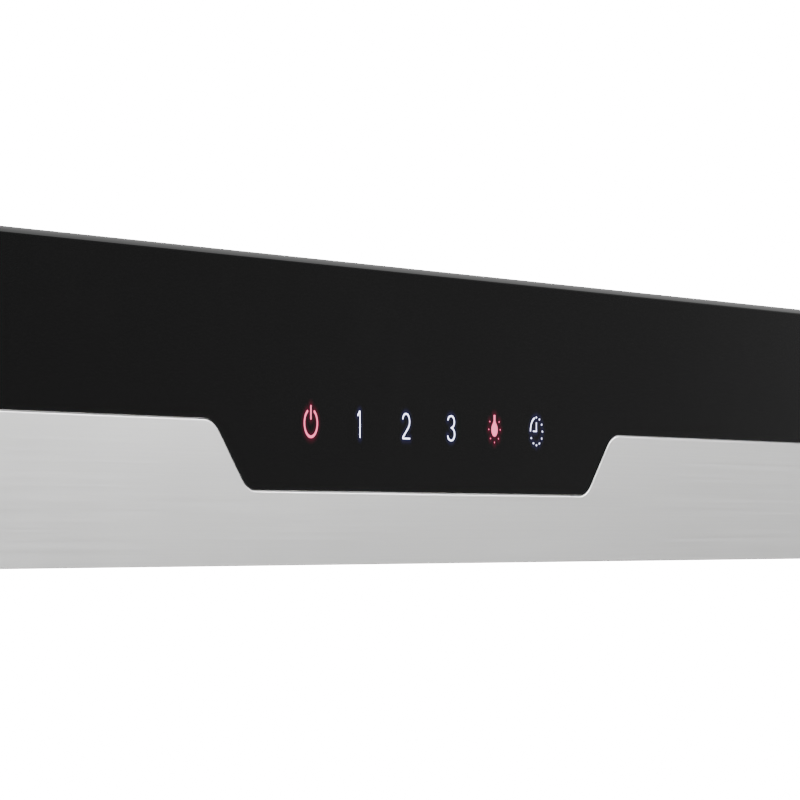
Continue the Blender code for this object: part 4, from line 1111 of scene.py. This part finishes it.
pan_low, pan_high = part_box("bottom_pan")
PAN_EDGE = 16 * MM
PAN_PITCH = 0.30
PAN_SCREWS = [(sign * (pan_high.x - PAN_EDGE), y)
              for sign in (-1, 1) for y in (-PAN_PITCH, 0.0, PAN_PITCH)]
PAN_SCREWS += [(0.0, sign * (pan_high.y - PAN_EDGE)) for sign in (-1, 1)]
for number, (x, y) in enumerate(PAN_SCREWS, 1):
    screw(f"pan_screw_{number}", (x, y, pan_low.z), "Z", -1, "canopy")

lower_low, lower_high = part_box("lower_chimney")
upper_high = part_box("upper_chimney")[1]
SCREW_SPREAD = 0.085
ABOVE_CANOPY = 14 * MM
BELOW_CEILING = 12 * MM
SMALLER = 0.8
for sign, side in ((-1, "left"), (1, "right")):
    for y in (-SCREW_SPREAD, SCREW_SPREAD):
        end = "front" if y < 0 else "rear"
        screw(f"lower_chimney_screw_{side}_{end}", (sign * lower_high.x, y, lower_low.z + ABOVE_CANOPY),
              "X", sign, "lower_cover", SMALLER)
        screw(f"upper_chimney_screw_{side}_{end}", (sign * upper_high.x, y, upper_high.z - BELOW_CEILING),
              "X", sign, "ceiling_frame", SMALLER)

# %% [markdown]
# Each filter frame is riveted at its four corners. The heads are domed and stand on its lower face.

# %% Rivets
RIVET = ((0.0, 0.0), (2.4, 0.0), (2.3, 0.45), (1.7, 0.85), (0.9, 1.0), (0.0, 1.05))
RIVET_INSET = 11 * MM
RIVET_STEPS = 20
for side in ("left", "right"):
    low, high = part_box("filter_frame_" + side)
    bm = bmesh.new()
    for x in (low.x + RIVET_INSET, high.x - RIVET_INSET):
        for y in (low.y + RIVET_INSET, high.y - RIVET_INSET):
            join_to(bm, turned(scaled(RIVET), RIVET_STEPS, (x, y, low.z), flip=-1))
    piece_from("filter_rivets_" + side, bm, bolt_zinc, "filter_" + side, smooth=True)
print("rivets on both filter frames")

# %% [markdown]
# The chimney tubes are rolled from one sheet each and closed at the back by a flat lapped seam, held
# with spot welds. The duct collar has two rolled beads that grip the duct.

# %% Seams and beads
SEAM_HALF = 7 * MM
SEAM_PROUD = 0.5 * MM
SEAM_SUNK = 0.05 * MM
SEAM_END = 0.5 * MM
WELD_PITCH = 60 * MM
WELD_MARGIN = 0.04
WELD = ((0, 0.15), (1.6, 0.12), (2.2, 0.0), (0, 0.0))
WELD_STEPS = 16
WELD_SUNK = 0.02 * MM
for name, body in (("lower_chimney", "lower_cover"), ("upper_chimney", "ceiling_frame")):
    low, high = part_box(name)
    bm = bmesh.new()
    bar(bm, (-SEAM_HALF, high.y - SEAM_SUNK, low.z + SEAM_END),
        (SEAM_HALF, high.y + SEAM_PROUD, high.z - SEAM_END))
    round_edges(bm, bm.edges[:], SOFT_BAR, 2)
    count = int((high.z - low.z - WELD_MARGIN) / WELD_PITCH)
    for number in range(count + 1):
        z = (low.z + high.z) / 2 + (number - count / 2) * WELD_PITCH
        join_to(bm, turned(scaled(WELD), WELD_STEPS, (0, high.y + SEAM_PROUD - WELD_SUNK, z), "Y"))
    piece_from(name + "_seam", bm, chimney_steel, body)

collar_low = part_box("duct_collar")[0]
COLLAR_RADIUS = 75 * MM
BEAD = ((-0.1, -2.0), (0.7, -1.4), (1.1, 0.0), (0.7, 1.4), (-0.1, 2.0))
BEAD_HEIGHTS = (0.020, 0.042)
BEAD_STEPS = 64
for number, height in enumerate(BEAD_HEIGHTS, 1):
    ring = [(COLLAR_RADIUS + out * MM, up * MM) for out, up in BEAD]
    bm = turned(ring, BEAD_STEPS, (0, 0, collar_low.z + height))
    piece_from(f"collar_bead_{number}", bm, zinc_steel, "canopy", smooth=True)

# %% [markdown]
# ## Fan
# The two wheels keep the working model's blades; they only need a finish and smooth sides. After them
# every node of the working model has a finer piece in its place, so none of them shows.

# %% Fan wheels
for name in frame["nodes"]:
    if name.startswith("impeller"):
        soften(name, 0, 0, zinc_steel, smooth=True)
print("nodes still shown", [name for name, node in frame["nodes"].items() if not node.hide_render])
